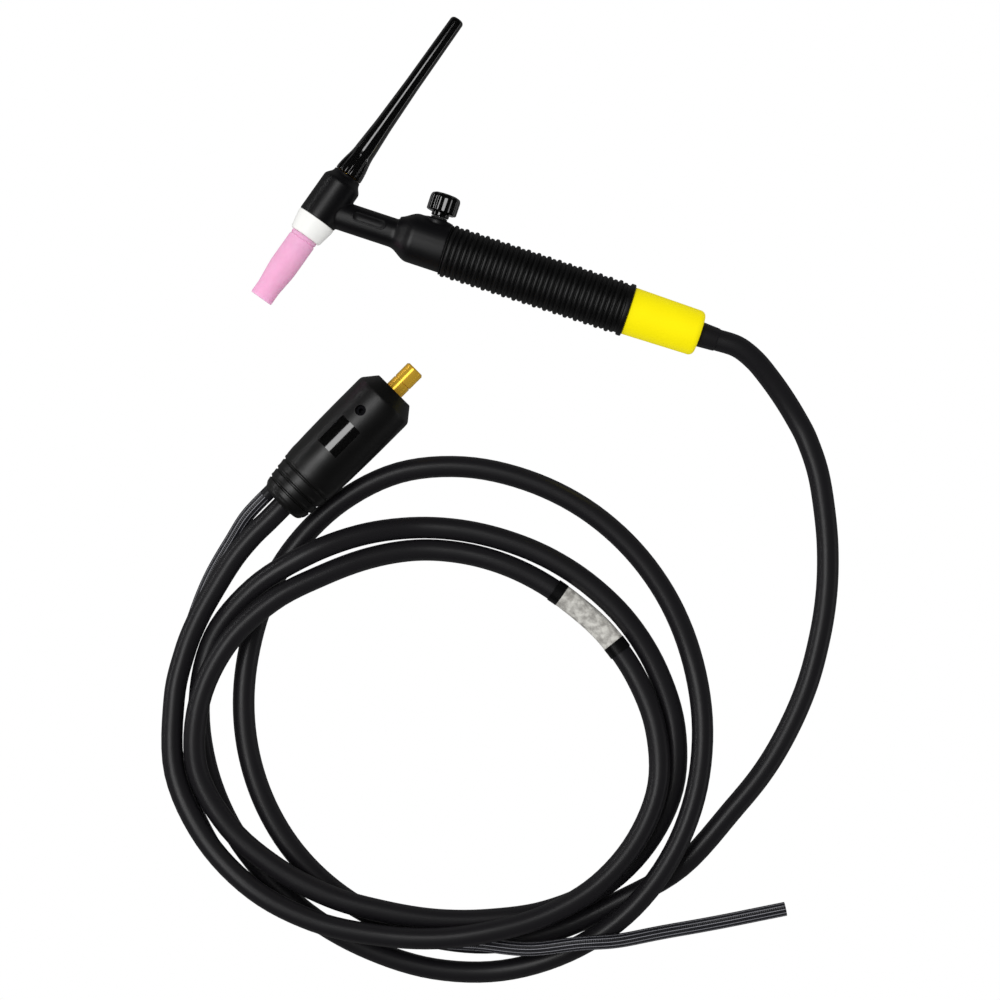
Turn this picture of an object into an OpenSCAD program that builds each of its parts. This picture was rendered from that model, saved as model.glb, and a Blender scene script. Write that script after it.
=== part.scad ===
// TIG torch lying on its side: head with ceramic nozzle and long back cap, ribbed handle with
// a gas valve, a coiled power cable with a bayonet plug, and a thin gas hose.
// The torch handle runs along +X and the valve knob points to +Y; +Z is up.
// The origin is under the middle of the torch itself, at the surface that it lies on.

/* [Torch head] */
// Angle between the head and the handle
head_angle = 73; // [62:1:90]
// Diameter of the head jacket
head_d = 26.6; // [25:0.2:30]
// Length of the head in front of the neck's axis
head_front = 7.4; // [6:0.2:12]
// Length of the head behind the neck's axis
head_back = 27.3; // [24:0.3:34]
// Length of the rounded shoulder at the back of the head
shoulder_len = 7.5; // [4:0.1:10]
// Diameter of the head's rear face
shoulder_d = 19.4; // [19:0.2:22]
// Diameter of the neck
neck_d = 19.2; // [17:0.2:21]
// Distance from the head's axis to the start of the flare
neck_len = 47.7; // [40:0.1:70]

/* [Nozzle and insulator] */
// Length of the ceramic nozzle
nozzle_len = 49.6; // [46:0.2:60]
// Outer diameter of the nozzle at its mouth
mouth_od = 15.7; // [15:0.1:17]
// Bore of the nozzle at its mouth
mouth_bore = 11; // [10.6:0.1:12]
// Outer diameter of the nozzle at its rear
nozzle_od = 18.8; // [18:0.2:22]
// Length of the tail insulator
insulator_len = 13.7; // [11:0.1:18]
// Diameter of the insulator where it meets the nozzle
insulator_front_d = 22; // [20:0.5:24]

/* [Electrode and collet] */
// Diameter of the electrode
electrode_d = 2.4; // [1.6:0.1:2.6]
// Length of the electrode
electrode_len = 150; // [120:1:150]
// Distance from the electrode's tip to the nozzle's mouth
tip_inset = 4.7; // [4.5:0.1:8]
// Diameter of the collet
collet_d = 4.6; // [4:0.1:5]
// Diameter of the thread that holds the nozzle
nozzle_thread_d = 13.8; // [13:0.1:14.4]

/* [Back cap] */
// Length of the back cap
cap_len = 124.7; // [112:0.1:140]
// Diameter of the cap's grip at its front
grip_d = 19; // [18:0.2:22]
// Diameter of the cap where the grip runs out
stem_d = 14.1; // [13:0.1:15]
// Diameter of the cap's rounded tip
tip_d = 9.2; // [8:0.1:10]
// Flutes around the grip
cap_flutes = 8; // [4:1:12]

/* [Valve] */
// Distance from the head's axis to the valve's axis
valve_x = 73.4; // [70:0.1:75]
// Diameter of the valve knob
knob_d = 20.2; // [18:0.2:24]
// Height of the valve knob
knob_h = 12.4; // [10:0.2:15]
// Flutes around the knob
knob_flutes = 10; // [8:1:16]
// Diameter of the valve stem
valve_stem_d = 3.5; // [3:0.1:4]

/* [Handle] */
// Diameter of the handle over its ribs
handle_d = 35; // [34:0.2:38]
// Diameter of the valve housing in front of the handle
housing_d = 31; // [30:0.2:33]
// Distance from the head's axis to the handle's front face
handle_start = 83.6; // [83:0.1:90]
// Ribs along the handle
rib_count = 17; // [12:1:20]
// Distance from rib to rib
rib_pitch = 7.05; // [6.6:0.05:8]
// Depth of the grooves between the ribs
rib_depth = 1.5; // [1:0.1:1.8]
// Length of the flange at the rear of the handle
flange_len = 3.2; // [2:0.1:6]
// Bore of the handle
handle_bore = 25.2; // [24:0.2:28]
// Length of the rear sleeve
sleeve_len = 49; // [40:0.5:60]
// Diameter of the rear sleeve at its front
sleeve_front_d = 31.6; // [29:0.2:33]
// Diameter of the rear sleeve at its back
sleeve_rear_d = 30; // [27:0.2:31]
// How far the strain relief stands out of the sleeve
relief_out = 12; // [6:0.5:30]

/* [Power cable and gas hose] */
// Diameter of the power cable
cable_d = 14.2; // [13:0.1:14.2]
// Diameter of the copper strands inside the cable's ends
copper_d = 6; // [5:0.1:6.6]
// Diameter of the gas hose
hose_d = 9.2; // [8:0.1:9.2]
// Bore of the gas hose
hose_bore = 5; // [4:0.1:5.4]
// Length of the gas hose's straight free end
hose_end_len = 22; // [15:1:30]

/* [Plug] */
// Diameter of the plug's cover
plug_d = 43; // [42:0.5:46]
// Length of the plug's cover
plug_len = 104.3; // [100:0.5:120]
// Diameter of the plug's front face
plug_face_d = 27.4; // [26:0.2:30]
// Diameter of the bayonet pin
pin_d = 13; // [12:0.1:14]
// Length of the bayonet pin
pin_len = 19.6; // [16:0.2:22]
// Length of the glossy plate on the cover
plate_len = 22.8; // [18:0.2:26]
// Width of the glossy plate on the cover
plate_w = 16.3; // [12:0.1:18]
// Tilt of the set screw from straight up
screw_tilt = 14; // [5:1:25]

/* [Hidden] */
$fn = 64;
FACET = 6;          // sides of a hexagon
LEAD_SIDES = 12;    // sides of a free stretch
LOOP_SIDES = 6;     // sides of a wound loop
LOOP_RINGS = 24;    // rings in one loop
EPS = 0.01;
FAR = 60;           // longer than any cut needs
press = 0.02;       // radial clearance of pieces that are pressed or crimped together
fit = 0.05;         // radial clearance of threads and sliding fits
loose = 0.1;        // radial clearance of pieces that only pass through each other
wide = 0.3;         // radial clearance of drilled ways
seat_gap = 0.05;    // gap between faces that part when a screw turns
end_gap = 0.2;      // gap between the ends of pieces that don't seat on each other
OVER = 1;           // how far a cut reaches past what it cuts
valve_travel = 2;   // travel of the valve stem when it is opened

// Colours
BLACK = "#1c1c1f";
RUBBER = "#26262b";
YELLOW = "#f7e600";
BRASS = "#b5893c";
COPPER = "#b06a3b";
CERAMIC = "#e89bc8";
PTFE = "#e9e7df";
STEEL = "#8d9094";

// Places along the head's axis, measured from where it crosses the handle's axis
face_z = -head_front;
nozzle_rear_z = face_z - insulator_len;
mouth_z = nozzle_rear_z - nozzle_len;
back_z = head_back;
o_ring_d = 1.5;
o_ring_mid_r = 6.3;
cap_gap = 0.3;
cap_z = back_z + cap_gap;
o_ring_end_z = back_z + o_ring_d + 2 * seat_gap;
cap_end_z = cap_z + cap_len;
tip_z = mouth_z + tip_inset;

// The back of the head slopes to a narrow rim
SHOULDER_STEPS = 8;
shoulder_rim = 1;

// The back cap: a fluted grip, then a slim shank with two gentle tapers
CAP_STEPS = 6;
cap_edge = 0.6;
grip_len = 19.6;
cap_waist = 1.15;
cap_waist_z = 40;
cap_neck = 0.45;
cap_neck_z = 72;
cap_bore_gap = 0.4;
cap_tip_wall = 6;
cap_tip_round = 2.4;
flute_r = 3;
flute_out = 1.9;
flute_len = 24;

// The brass core of the head
core_r = 8.5;
core_nose_r = 6.8;
core_nose_len = 11.2;
core_nose_z = face_z - core_nose_len;
body_shank_r = 4.7;
body_shank_len = 14.6;
collet_r = collet_d / 2;
cap_spigot_r = 5.4;
cap_spigot_z = 10.5;
collet_rear_z = cap_spigot_z - end_gap;
cap_socket_z = cap_spigot_z - 0.7;

// The collet body
thread_front_z = nozzle_rear_z - 9;
body_barrel_r = 5;
body_front_z = nozzle_rear_z - 29;
body_nose_len = 4;
body_nose_r = 3;
gas_hole_z = body_front_z + 9;
gas_hole_r = 1;
gas_holes = 4;
collet_front_z = body_front_z + body_nose_len + 0.5;
electrode_r = electrode_d / 2;
thread_r = nozzle_thread_d / 2;
insulator_bore_r = thread_r + fit;

// The nozzle swells behind its mouth: places behind the mouth and shares of the growth
nozzle_swell = [[8.5, 0], [15, 0.55], [20.2, 0.87], [24.7, 1]];

// The nozzle's edges, its collar and its bore
nozzle_edge = 0.4;
collar_len = 2;
collar_inset = 0.15;
collar_edge = 0.3;
collar_groove = [3.3, 2.9, 2.4];
collar_groove_depth = 0.5;
nozzle_step_z = body_front_z - 2;
nozzle_mid_r = 6.2;
nozzle_thread_z = thread_front_z - 3.5;

// Places along the handle
neck_r = neck_d / 2;
neck_start = 7;
flare_len = 13.7;
flare_steps = 8;
housing_r = housing_d / 2;
housing_lift = 1.9;
spigot_len = 14;
handle_bore_r = handle_bore / 2;
spigot_r = handle_bore_r - loose;
first_rib = 2.9;
rib_top = 2.5;
rib_slope = 0.4;
groove_w = 0.5;
band_drop = 0.7;
handle_edge = 0.5;
groove_slope = 0.2;
flange_x = handle_start + first_rib + rib_count * rib_pitch;
handle_end = flange_x + flange_len;
sleeve_end = handle_end + sleeve_len;
relief_end = sleeve_end + relief_out;

// The valve
valve_body_size = [15, 20, 13];
valve_body_top = 13;
valve_body_low = valve_body_top - valve_body_size[1];
boss_r = 10.2;
boss_edge = 1.5;
boss_edge_h = 1;
boss_top = housing_r + housing_lift;
gland_r = 5.5;
gland_h = 1.5;
gland_spigot_r = 4.2;
stem_r = valve_stem_d / 2;
stem_depth = 13;
stem_tip_y = valve_body_top - stem_depth;
stem_point_r = 0.4;
stem_seat_gap = 0.4;
stem_taper = 3;
stem_ring_minor = 0.58;
stem_ring_major = stem_r + stem_ring_minor + 0.04;
stem_ring_y = valve_body_top + stem_ring_minor + 0.1;
ring_pocket_r = stem_ring_major + stem_ring_minor + fit;
ring_pocket_len = 2 * stem_ring_minor + valve_travel + 0.4;
skirt_r = 5.9;
skirt_gap = 0.4;
skirt_len = 2.6;
skirt_y = boss_top + gland_h + skirt_gap;
knob_y = skirt_y + skirt_len;
knob_top = knob_y + knob_h;
knob_r = knob_d / 2;
knob_round = 2.6;
knob_dish_r = 5;
knob_dish = 0.8;
knob_dish_slope = 1;
knob_edge = 0.8;
knob_flute_end = 2;
stem_cover = 4;
knob_flute_r = 1.2;
knob_flute_out = 0.5;
stem_end = knob_top - stem_cover;

// The connection inside the handle
tube_r = 3.5;
tube_bore_r = 2.5;
tube_start = 5.2;
tube_socket = 1.5;
adapter_r = 4;
adapter_thread_r = 5.5;
adapter_collar_r = 7.5;
adapter_reach = 26;
adapter_collar_len = 6;
adapter_thread_len = 12;
adapter_collar_x = valve_x + adapter_reach;
adapter_thread_x = adapter_collar_x + adapter_collar_len;
adapter_end = adapter_thread_x + adapter_thread_len;
adapter_start = valve_x + valve_body_size[0] / 2;
nut_r = 8.6;
nut_lip = 3;
nut_x = adapter_thread_x + 1;
nut_len = 17;
nut_end = nut_x + nut_len;
nipple_r = 3.5;
nipple_head_r = 5.4;
nipple_head_len = 3;
nipple_start = adapter_end + loose;
nipple_len = 32;
nipple_end = nipple_start + nipple_len;
gas_way_r = 2;
cable_r = cable_d / 2;
cable_bore_r = nipple_r + press;
inner_start = nut_end + 2;
ferrule_start = inner_start + 1;
ferrule_wall = 0.9;
ferrule_len = 16;
copper_r = copper_d / 2;

// The rear sleeve and the strain relief
sleeve_round = 4;
sleeve_edge = 0.4;
relief_wall = [1.15, 0.5];
relief_len = 34;
relief_start = relief_end - relief_len;
relief_front_r = cable_r + relief_wall[0];
relief_rear_r = cable_r + relief_wall[1];

// The torch lies on its ribs, with the origin under the middle of the torch
axis_z = handle_d / 2;
low_x = mouth_z * cos(head_angle) - mouth_od / 2 * sin(head_angle);
low_y = mouth_z * sin(head_angle) - mouth_od / 2 * cos(head_angle);
high_y = (cap_end_z - cap_tip_round) * sin(head_angle)
    + (tip_d / 2 - cap_tip_round) * cos(head_angle) + cap_tip_round;
head_x = -(low_x + relief_end) / 2;
head_y = -(low_y + high_y) / 2;

// The plug, with its axis level and its cover on the surface
plug_r = plug_d / 2;
plug_angle = 63.3;
plug_front = 50.2;
plug_rear = plug_front - plug_len;
plug_x = -212;    // from the end of the strain relief, as in the routes
plug_y = -142.4;
plug_z = plug_r;
plug_chamfer = 9.8;
plug_face_rise = 0.8;
plug_face_edge = 0.6;
plug_tail_r = 11.5;
plug_tail_round = 5;
plug_body_r = 9.2;
plug_body_start = 4;
cable_side = -1.7;  // the cable and the hose leave the plug side by side
hose_side = 10.7;
manifold_r = 15;
manifold_start = -24;
manifold_len = 14;
hose_r = hose_d / 2;
hose_bore_r = hose_bore / 2;
hose_out = plug_rear - 3.9;
plug_ferrule_wall = 0.5;
plug_ferrule_len = 12;
ferrule_end = manifold_start - 8;
clip_wall = 0.4;
clip_len = 4;
clip_end = manifold_start - 1.5;
barb_len = 16;
groove_depth = 0.8;
groove_rise = 2;
groove_half = 1.7;
screw_key_r = 1.8;
screw_key_len = 3.5;
pin_edge = 1;
pin_groove = 0.6;
conductor_len = 17.5;
gas_drill_r = 1.7;
gas_drill_len = 8;
barb_bore_r = 1.2;
screw_s = 25.8;
screw_r = 3.6;
screw_foot = 4.2;
screw_sink = 2.6;
lug_size = [5, 4, 2.2];
lug_gap = 2;
plate_start = -7.2;
plate_side = 2.9;
plate_sink = 0.25;
plate_wall = 0.9;

// The cover swells from its tail: places along the plug, and depths under the full radius
plug_swell = [[-39.1, 2.9], [-26, 1], [-10.4, 0.4], [15.6, 0]];

// The grooves around the cover's tail: places, and the cover's depth under the full radius there
plug_grooves = [[-24.1, 0.9], [-31.3, 1.7], [-39.1, 2.8], [-45.6, 3.9]];

// Routes of the cable and the hose on the surface. Plan places are measured from the end of the
// strain relief, and heights from the surface.
route_x = head_x + relief_end;
route_y = head_y;
coil_x = -89.4;
coil_y = -287.8;

LEAD = [
    [0, 0, 17.5], [14, 0, 17.5], [27.5, -4.6, 15.5], [40.5, -12.2, 12], [54, -21.7, 8.8],
    [67, -32.5, 7.1], [78, -43.5, 7.1], [92, -62.5, 7.1], [105.5, -89, 7.1],
    [114.5, -111.5, 7.1], [121.5, -136, 7.1], [126, -163, 7.1], [128, -194.5, 7.1],
    [125.5, -226, 7.1], [119, -257, 7.1]
];

// Reach from the coil's middle and height of the coil, every 30 degrees clockwise
COIL_STEP = 30;
COIL_END = 1245;
REACH = [
    197, 166, 153, 142, 136, 134, 138, 150, 162, 162, 162, 164,
    169, 173, 172, 163, 160, 163, 162, 140, 125, 120, 126, 140,
    155, 151, 136, 134, 149, 167, 151, 123, 110, 105, 109, 125,
    144, 146, 141, 148, 168, 182, 175
];
HEIGHT = [
    7.1, 7.1, 7.1, 7.1, 7.1, 7.1, 7.1, 7.1, 7.1, 7.1, 7.1, 7.1,
    20, 21.6, 5, 7.1, 7.1, 7.1, 13, 24.5, 8.5, 7.1, 7.1, 7.1,
    7.1, 11.5, 18.5, 22, 23, 24, 30, 21, 8.5, 7.7, 7.7, 11.5,
    18.5, 26.5, 33, 32.5, 31, 21, 17
];

TAIL = [
    [-266, -303, 17], [-264.5, -279, 17.5], [-260, -255.5, 18.5], [-254.5, -234, 20],
    [-247.8, -217, 21], [-240.9, -203.7, 21.5], [-234.85, -191.55, 21.5]
];

HOSE = [
    [-247.7, -189.5, 21.5], [-251.7, -197.5, 21.5], [-257, -208.5, 17.5],
    [-259.5, -221, 11.5], [-263.3, -233.5, 6.8], [-266.9, -250.5, 4.6],
    [-268.5, -268, 4.6], [-268.5, -287, 4.6], [-268.5, -307, 4.6], [-266, -331, 4.6],
    [-260, -354.5, 4.6], [-247, -377.5, 4.6], [-229.5, -398.5, 4.6], [-209.5, -419, 6.5],
    [-190.5, -430.5, 11], [-167, -438, 16.5], [-140.5, -443, 19.3], [-114, -443.5, 19.4],
    [-89.5, -440.5, 19.4], [-63, -433, 19.6], [-42, -428, 20.5], [-23, -422, 20.5],
    [-4, -419, 22], [12.5, -413.5, 26], [28, -404.5, 29.8], [43.5, -397, 31.3],
    [60, -392.5, 27.5], [79, -382.5, 18], [101, -373, 8.5], [121, -363, 4.6],
    [142, -351, 4.6]
];
HOSE_LAST = len(HOSE) - 1;
HOSE_RUN = HOSE[HOSE_LAST] - HOSE[HOSE_LAST - 1];
HOSE_ANGLE = atan2(HOSE_RUN[1], HOSE_RUN[0]);

// The label's middle on the coil, and how far it and its bands reach from there, in rings
LABEL_AT = 68.45;
LABEL_REACH = 0.92;
BAND_REACH = [0.76, 1];
label_r = cable_r + 0.35;
band_r = cable_r + 0.6;

// ---------- functions ----------
function clamp(i, list) = max(0, min(i, len(list) - 1));

// A smooth value between the entries of a list, at entry i plus the fraction f
function smooth(list, i, f) =
    let (a = list[clamp(i - 1, list)], b = list[i])
    let (c = list[clamp(i + 1, list)], d = list[clamp(i + 2, list)])
    b + 0.5 * f * (c - a + f * (2 * a - 5 * b + 4 * c - d + f * (3 * (b - c) + d - a)));

function along(list, t) =
    let (i = min(floor(t / COIL_STEP), len(list) - 2))
    smooth(list, i, t / COIL_STEP - i);

function coil_point(t) =
    let (r = along(REACH, t))
    [coil_x + r * cos(-t), coil_y + r * sin(-t), max(along(HEIGHT, t), cable_r)];

function placed(points) = [for (p = points) [route_x + p[0], route_y + p[1], p[2]]];

function unit(v) = v / norm(v);

// The direction of a path at point i
function heading(path, i) =
    unit(path[min(i + 1, len(path) - 1)] - path[max(i - 1, 0)]);

// One ring of a tube
function ring(c, dir, r, sides) =
    let (side = unit(cross(dir, [0, 0, 1])), up = cross(side, dir))
    [for (k = [0 : sides - 1]) c + r * (cos(360 * k / sides) * side + sin(360 * k / sides) * up)];

// The least distance between the pieces p to p + u and q to q + v
function piece_gap(p, u, q, v) =
    let (w = p - q, a = u * u, b = u * v, c = v * v, d = u * w, e = v * w)
    let (den = a * c - b * b)
    let (s0 = den > EPS ? max(0, min(1, (b * e - c * d) / den)) : 0)
    let (t = max(0, min(1, (b * s0 + e) / c)))
    let (s = max(0, min(1, (b * t - d) / a)))
    norm(w + s * u - t * v);

function least_gap(path, r) =
    min([for (i = [0 : len(path) - 5]) for (j = [i + 3 : len(path) - 2])
        piece_gap(path[i], path[i + 1] - path[i], path[j], path[j + 1] - path[j])]) - 2 * r;

function path_len(path) =
    let (steps = [for (i = [1 : len(path) - 1]) norm(path[i] - path[i - 1])])
    steps * [for (s = steps) 1];

function arc(cx, cy, r, from, to, n) =
    [for (k = [0 : n]) let (a = from + (to - from) * k / n) [cx + r * cos(a), cy + r * sin(a)]];

CABLE = placed(concat(LEAD,
    [for (t = [0 : 360 / LOOP_RINGS : COIL_END]) coil_point(t)], TAIL));
COIL_FIRST = len(LEAD);
COIL_LAST = len(CABLE) - len(TAIL) - 1;
HOSE_PATH = placed(HOSE);

echo(cable_length = path_len(CABLE), cable_gap = least_gap(CABLE, cable_r));
echo(hose_length = path_len(HOSE_PATH) + hose_end_len, hose_gap = least_gap(HOSE_PATH, hose_r));

// ---------- shapes that repeat ----------
// A tube along the points first to last of a path
module tube(path, first, last, r, sides) {
    rings = [for (i = [first : last]) ring(path[i], heading(path, i), r, sides)];
    n = len(rings);
    points = [for (q = rings) for (p = q) p];
    start = [for (k = [0 : sides - 1]) k];
    end = [for (k = [sides - 1 : -1 : 0]) (n - 1) * sides + k];
    walls = [for (i = [0 : n - 2]) for (k = [0 : sides - 1])
        let (a = i * sides + k, b = i * sides + (k + 1) % sides)
        each [[a, a + sides, b], [b, a + sides, b + sides]]];
    polyhedron(points, concat([start], walls, [end]), convexity = 10);
}

// A sleeve around a stretch of the coil, from one path to the next
module wrap(path, inner, outer) {
    n = len(path);
    sides = LEAD_SIDES;
    inside = inner / cos(180 / sides);
    rings = [for (i = [0 : n - 1]) concat(
        ring(path[i], heading(path, i), outer, sides),
        ring(path[i], heading(path, i), inside, sides))];
    points = [for (q = rings) for (p = q) p];
    w = 2 * sides;
    last = (n - 1) * w;
    near = [for (k = [0 : sides - 1]) let (j = (k + 1) % sides)
        each [[k, j, sides + k], [j, sides + j, sides + k]]];
    far = [for (k = [0 : sides - 1]) let (j = (k + 1) % sides)
        each [[last + k, last + sides + k, last + j],
              [last + j, last + sides + k, last + sides + j]]];
    walls = [for (i = [0 : n - 2]) for (k = [0 : sides - 1])
        let (j = (k + 1) % sides, a = i * w + k, b = i * w + j)
        each [[a, a + w, b], [b, a + w, b + w],
              [a + sides, b + sides, a + w + sides],
              [b + sides, b + w + sides, a + w + sides]]];
    polyhedron(points, concat(near, walls, far), convexity = 10);
}

// A rod or a drilled bore along local Z
module rod(r, from, to) {
    translate([0, 0, from]) cylinder(r = r, h = to - from);
}

module cone(r1, r2, from, to) {
    translate([0, 0, from]) cylinder(r1 = r1, r2 = r2, h = to - from);
}

module o_ring(major, minor) {
    rotate_extrude() translate([major, 0]) circle(r = minor, $fn = 24);
}

module hexagon(r, from, to) {
    translate([0, 0, from]) cylinder(r = r, h = to - from, $fn = FACET);
}

// Copies spaced evenly around local Z
module around(n, start = 0) {
    for (k = [0 : n - 1]) rotate([0, 0, start + 360 * k / n]) children();
}

// Local Z along the head, the handle, the valve or the plug
module on_head() {
    translate([head_x, head_y, axis_z]) rotate([0, 0, head_angle]) rotate([0, 90, 0]) children();
}

module on_handle() {
    translate([head_x, head_y, axis_z]) rotate([0, 90, 0]) children();
}

module on_valve() {
    translate([head_x + valve_x, head_y, axis_z]) rotate([-90, 0, 0]) children();
}

module on_plug() {
    translate([route_x + plug_x, route_y + plug_y, plug_z])
        rotate([0, 0, plug_angle]) rotate([0, 90, 0]) children();
}

module on_hose_end() {
    translate(HOSE_PATH[HOSE_LAST])
        rotate([0, 0, HOSE_ANGLE]) rotate([0, 90, 0]) children();
}

// ---------- head ----------
module cap_outline() {
    tip_r = tip_d / 2;
    shank_r = stem_d / 2;
    grip_r = grip_d / 2;
    rotate_extrude() polygon(concat(
        [[0, cap_z], [grip_r - cap_edge, cap_z], [grip_r, cap_z + cap_edge]],
        [for (k = [1 : CAP_STEPS]) let (f = k / CAP_STEPS)
            [shank_r + (grip_r - shank_r) * (1 + cos(180 * f)) / 2, cap_z + cap_edge + grip_len * f]],
        [[shank_r - cap_waist, cap_z + cap_waist_z], [tip_r + cap_neck, cap_z + cap_neck_z]],
        arc(tip_r - cap_tip_round, cap_end_z - cap_tip_round, cap_tip_round, 0, 90, 6),
        [[0, cap_end_z]]));
}

module back_cap() {
    color(BLACK) on_head() difference() {
        union() {
            cap_outline();
            rod(cap_spigot_r, cap_spigot_z, cap_z + EPS);
        }
        rod(electrode_r + cap_bore_gap, cap_spigot_z - EPS, cap_end_z - cap_tip_wall);
        difference() {
            rod(o_ring_mid_r + o_ring_d / 2 + fit, cap_z - OVER, o_ring_end_z);
            rod(cap_spigot_r, cap_z - 2 * OVER, o_ring_end_z + OVER);
        }
        around(cap_flutes) translate([grip_d / 2 + flute_out, 0, 0])
            rod(flute_r, cap_z - OVER, cap_z + flute_len);
    }
}

module cap_o_ring() {
    color(BLACK) on_head() translate([0, 0, back_z + o_ring_d / 2 + seat_gap])
        o_ring(o_ring_mid_r, o_ring_d / 2);
}

// The neck, its flare, the valve housing and the spigot that the handle slides on
module neck_outline() {
    rotate_extrude() polygon(concat(
        [[0, neck_start], [neck_r, neck_start]],
        flare(0, 0),
        [[housing_r, handle_start], [spigot_r, handle_start],
         [spigot_r, handle_start + spigot_len], [0, handle_start + spigot_len]]));
}

// The raised side of the housing, towards the knob
module raised_outline() {
    inset = 0.1;
    rotate_extrude() polygon(concat(
        [[0, neck_len + flare_len / flare_steps]],
        flare(1, inset),
        [[housing_r - inset, handle_start - inset], [0, handle_start - inset]]));
}

// A smooth step from the neck's radius to the housing's
function flare(first, inset) =
    [for (k = [first : flare_steps]) let (f = k / flare_steps)
        [neck_r - inset + (housing_r - neck_r) * (1 - cos(180 * f)) / 2, neck_len + flare_len * f]];

module torch_jacket() {
    color(RUBBER) difference() {
        union() {
            on_head() {
                rod(head_d / 2, face_z, back_z - shoulder_len);
                shoulder_outline();
            }
            on_handle() neck_outline();
            translate([0, housing_lift, 0]) on_handle() raised_outline();
            on_valve() {
                rod(boss_r, 0, boss_top - boss_edge_h);
                cone(boss_r, boss_r - boss_edge, boss_top - boss_edge_h, boss_top);
            }
        }
        on_head() {
            rod(core_r + press, face_z - FAR, back_z + OVER);
            rod(head_d, face_z - FAR, face_z);
        }
        on_handle() {
            rod(tube_r + press, 0, valve_x);
            rod(adapter_r + loose, valve_x, handle_start + spigot_len + OVER);
        }
        on_valve() rod(gland_spigot_r + loose, 0, FAR);
        valve_block(loose);
    }
}

// The rounded back of the head
module shoulder_outline() {
    r = head_d / 2;
    drop = r - shoulder_d / 2;
    start_z = back_z - shoulder_len;
    rotate_extrude() polygon(concat(
        [[0, start_z - EPS], [r, start_z - EPS]],
        [for (k = [0 : SHOULDER_STEPS]) let (f = k / SHOULDER_STEPS)
            [r - drop * (1 - cos(180 * f)) / 2, start_z + (shoulder_len - shoulder_rim) * f]],
        [[r - drop, back_z], [0, back_z]]));
}

module head_core() {
    color(BRASS) difference() {
        on_head() {
            rod(core_r, face_z, back_z);
            rod(core_nose_r, core_nose_z, face_z + EPS);
        }
        on_head() {
            rod(body_shank_r + fit, core_nose_z - EPS, core_nose_z + body_shank_len);
            rod(collet_r + wide, core_nose_z, cap_socket_z + EPS);
            rod(cap_spigot_r + fit, cap_socket_z, back_z + EPS);
        }
        on_handle() rod(tube_r + press, tube_start - tube_socket, FAR);
    }
}

module collet_body() {
    shank_end = core_nose_z + body_shank_len - end_gap;
    color(BRASS) on_head() difference() {
        union() {
            rod(body_shank_r, core_nose_z, shank_end);
            rod(core_nose_r - loose, nozzle_rear_z, core_nose_z);
            rod(thread_r, thread_front_z, nozzle_rear_z + EPS);
            rod(body_barrel_r, body_front_z + body_nose_len, thread_front_z + EPS);
            cone(body_nose_r, body_barrel_r, body_front_z, body_front_z + body_nose_len);
        }
        rod(collet_r + fit, collet_front_z - end_gap, shank_end + EPS);
        rod(electrode_r + wide, body_front_z - EPS, collet_front_z);
        around(gas_holes, 45) translate([0, 0, gas_hole_z]) rotate([0, 90, 0])
            rod(gas_hole_r, 0, FAR);
    }
}

module collet() {
    slit = 0.4;
    slit_len = 14;
    color(COPPER) on_head() difference() {
        rod(collet_r, collet_front_z, collet_rear_z);
        rod(electrode_r + fit, collet_front_z - EPS, collet_rear_z + EPS);
        around(2, 45) translate([-slit / 2, -FAR / 2, collet_front_z - OVER])
            cube([slit, FAR, slit_len]);
    }
}

module electrode() {
    point_len = 5;
    point_r = 0.2;
    color(STEEL) on_head() {
        cone(point_r, electrode_r, tip_z, tip_z + point_len);
        rod(electrode_r, tip_z + point_len - EPS, tip_z + electrode_len);
    }
}

module insulator() {
    band = 2.6;
    r = head_d / 2 - 0.1;
    color(PTFE) on_head() difference() {
        union() {
            cone(insulator_front_d / 2, r, nozzle_rear_z + seat_gap, face_z - band);
            rod(r, face_z - band - EPS, face_z - seat_gap);
        }
        rod(insulator_bore_r, nozzle_rear_z - OVER, face_z + OVER);
    }
}

module nozzle() {
    mouth_r = mouth_od / 2;
    rear_r = nozzle_od / 2;
    collar_r = rear_r - collar_inset;
    neck_groove_r = collar_r - collar_groove_depth;
    mouth_bore_r = mouth_bore / 2;
    color(CERAMIC) on_head() difference() {
        rotate_extrude() polygon(concat(
            [[0, mouth_z], [mouth_r - nozzle_edge, mouth_z], [mouth_r, mouth_z + nozzle_edge]],
            [for (p = nozzle_swell) [mouth_r + (rear_r - mouth_r) * p[1], mouth_z + p[0]]],
            [[rear_r, nozzle_rear_z - collar_groove[0]],
             [neck_groove_r, nozzle_rear_z - collar_groove[1]],
             [neck_groove_r, nozzle_rear_z - collar_groove[2]],
             [collar_r, nozzle_rear_z - collar_len], [collar_r, nozzle_rear_z - collar_edge],
             [collar_r - collar_edge, nozzle_rear_z], [0, nozzle_rear_z]]));
        rod(mouth_bore_r, mouth_z - OVER, nozzle_rear_z + OVER);
        rod(nozzle_mid_r, nozzle_step_z, nozzle_rear_z + OVER);
        rod(thread_r + fit, nozzle_thread_z, nozzle_rear_z + OVER);
    }
}

// ---------- neck and valve ----------
module neck_tube() {
    color(COPPER) on_handle() difference() {
        rod(tube_r, tube_start, valve_x - valve_body_size[0] / 2);
        rod(tube_bore_r, tube_start - OVER, valve_x);
    }
}

module valve_block(gap) {
    translate([head_x + valve_x - valve_body_size[0] / 2 - gap,
        head_y + valve_body_low - gap, axis_z - valve_body_size[2] / 2 - gap])
        cube([valve_body_size[0] + 2 * gap, valve_body_size[1] + gap + EPS,
            valve_body_size[2] + 2 * gap]);
}

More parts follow.
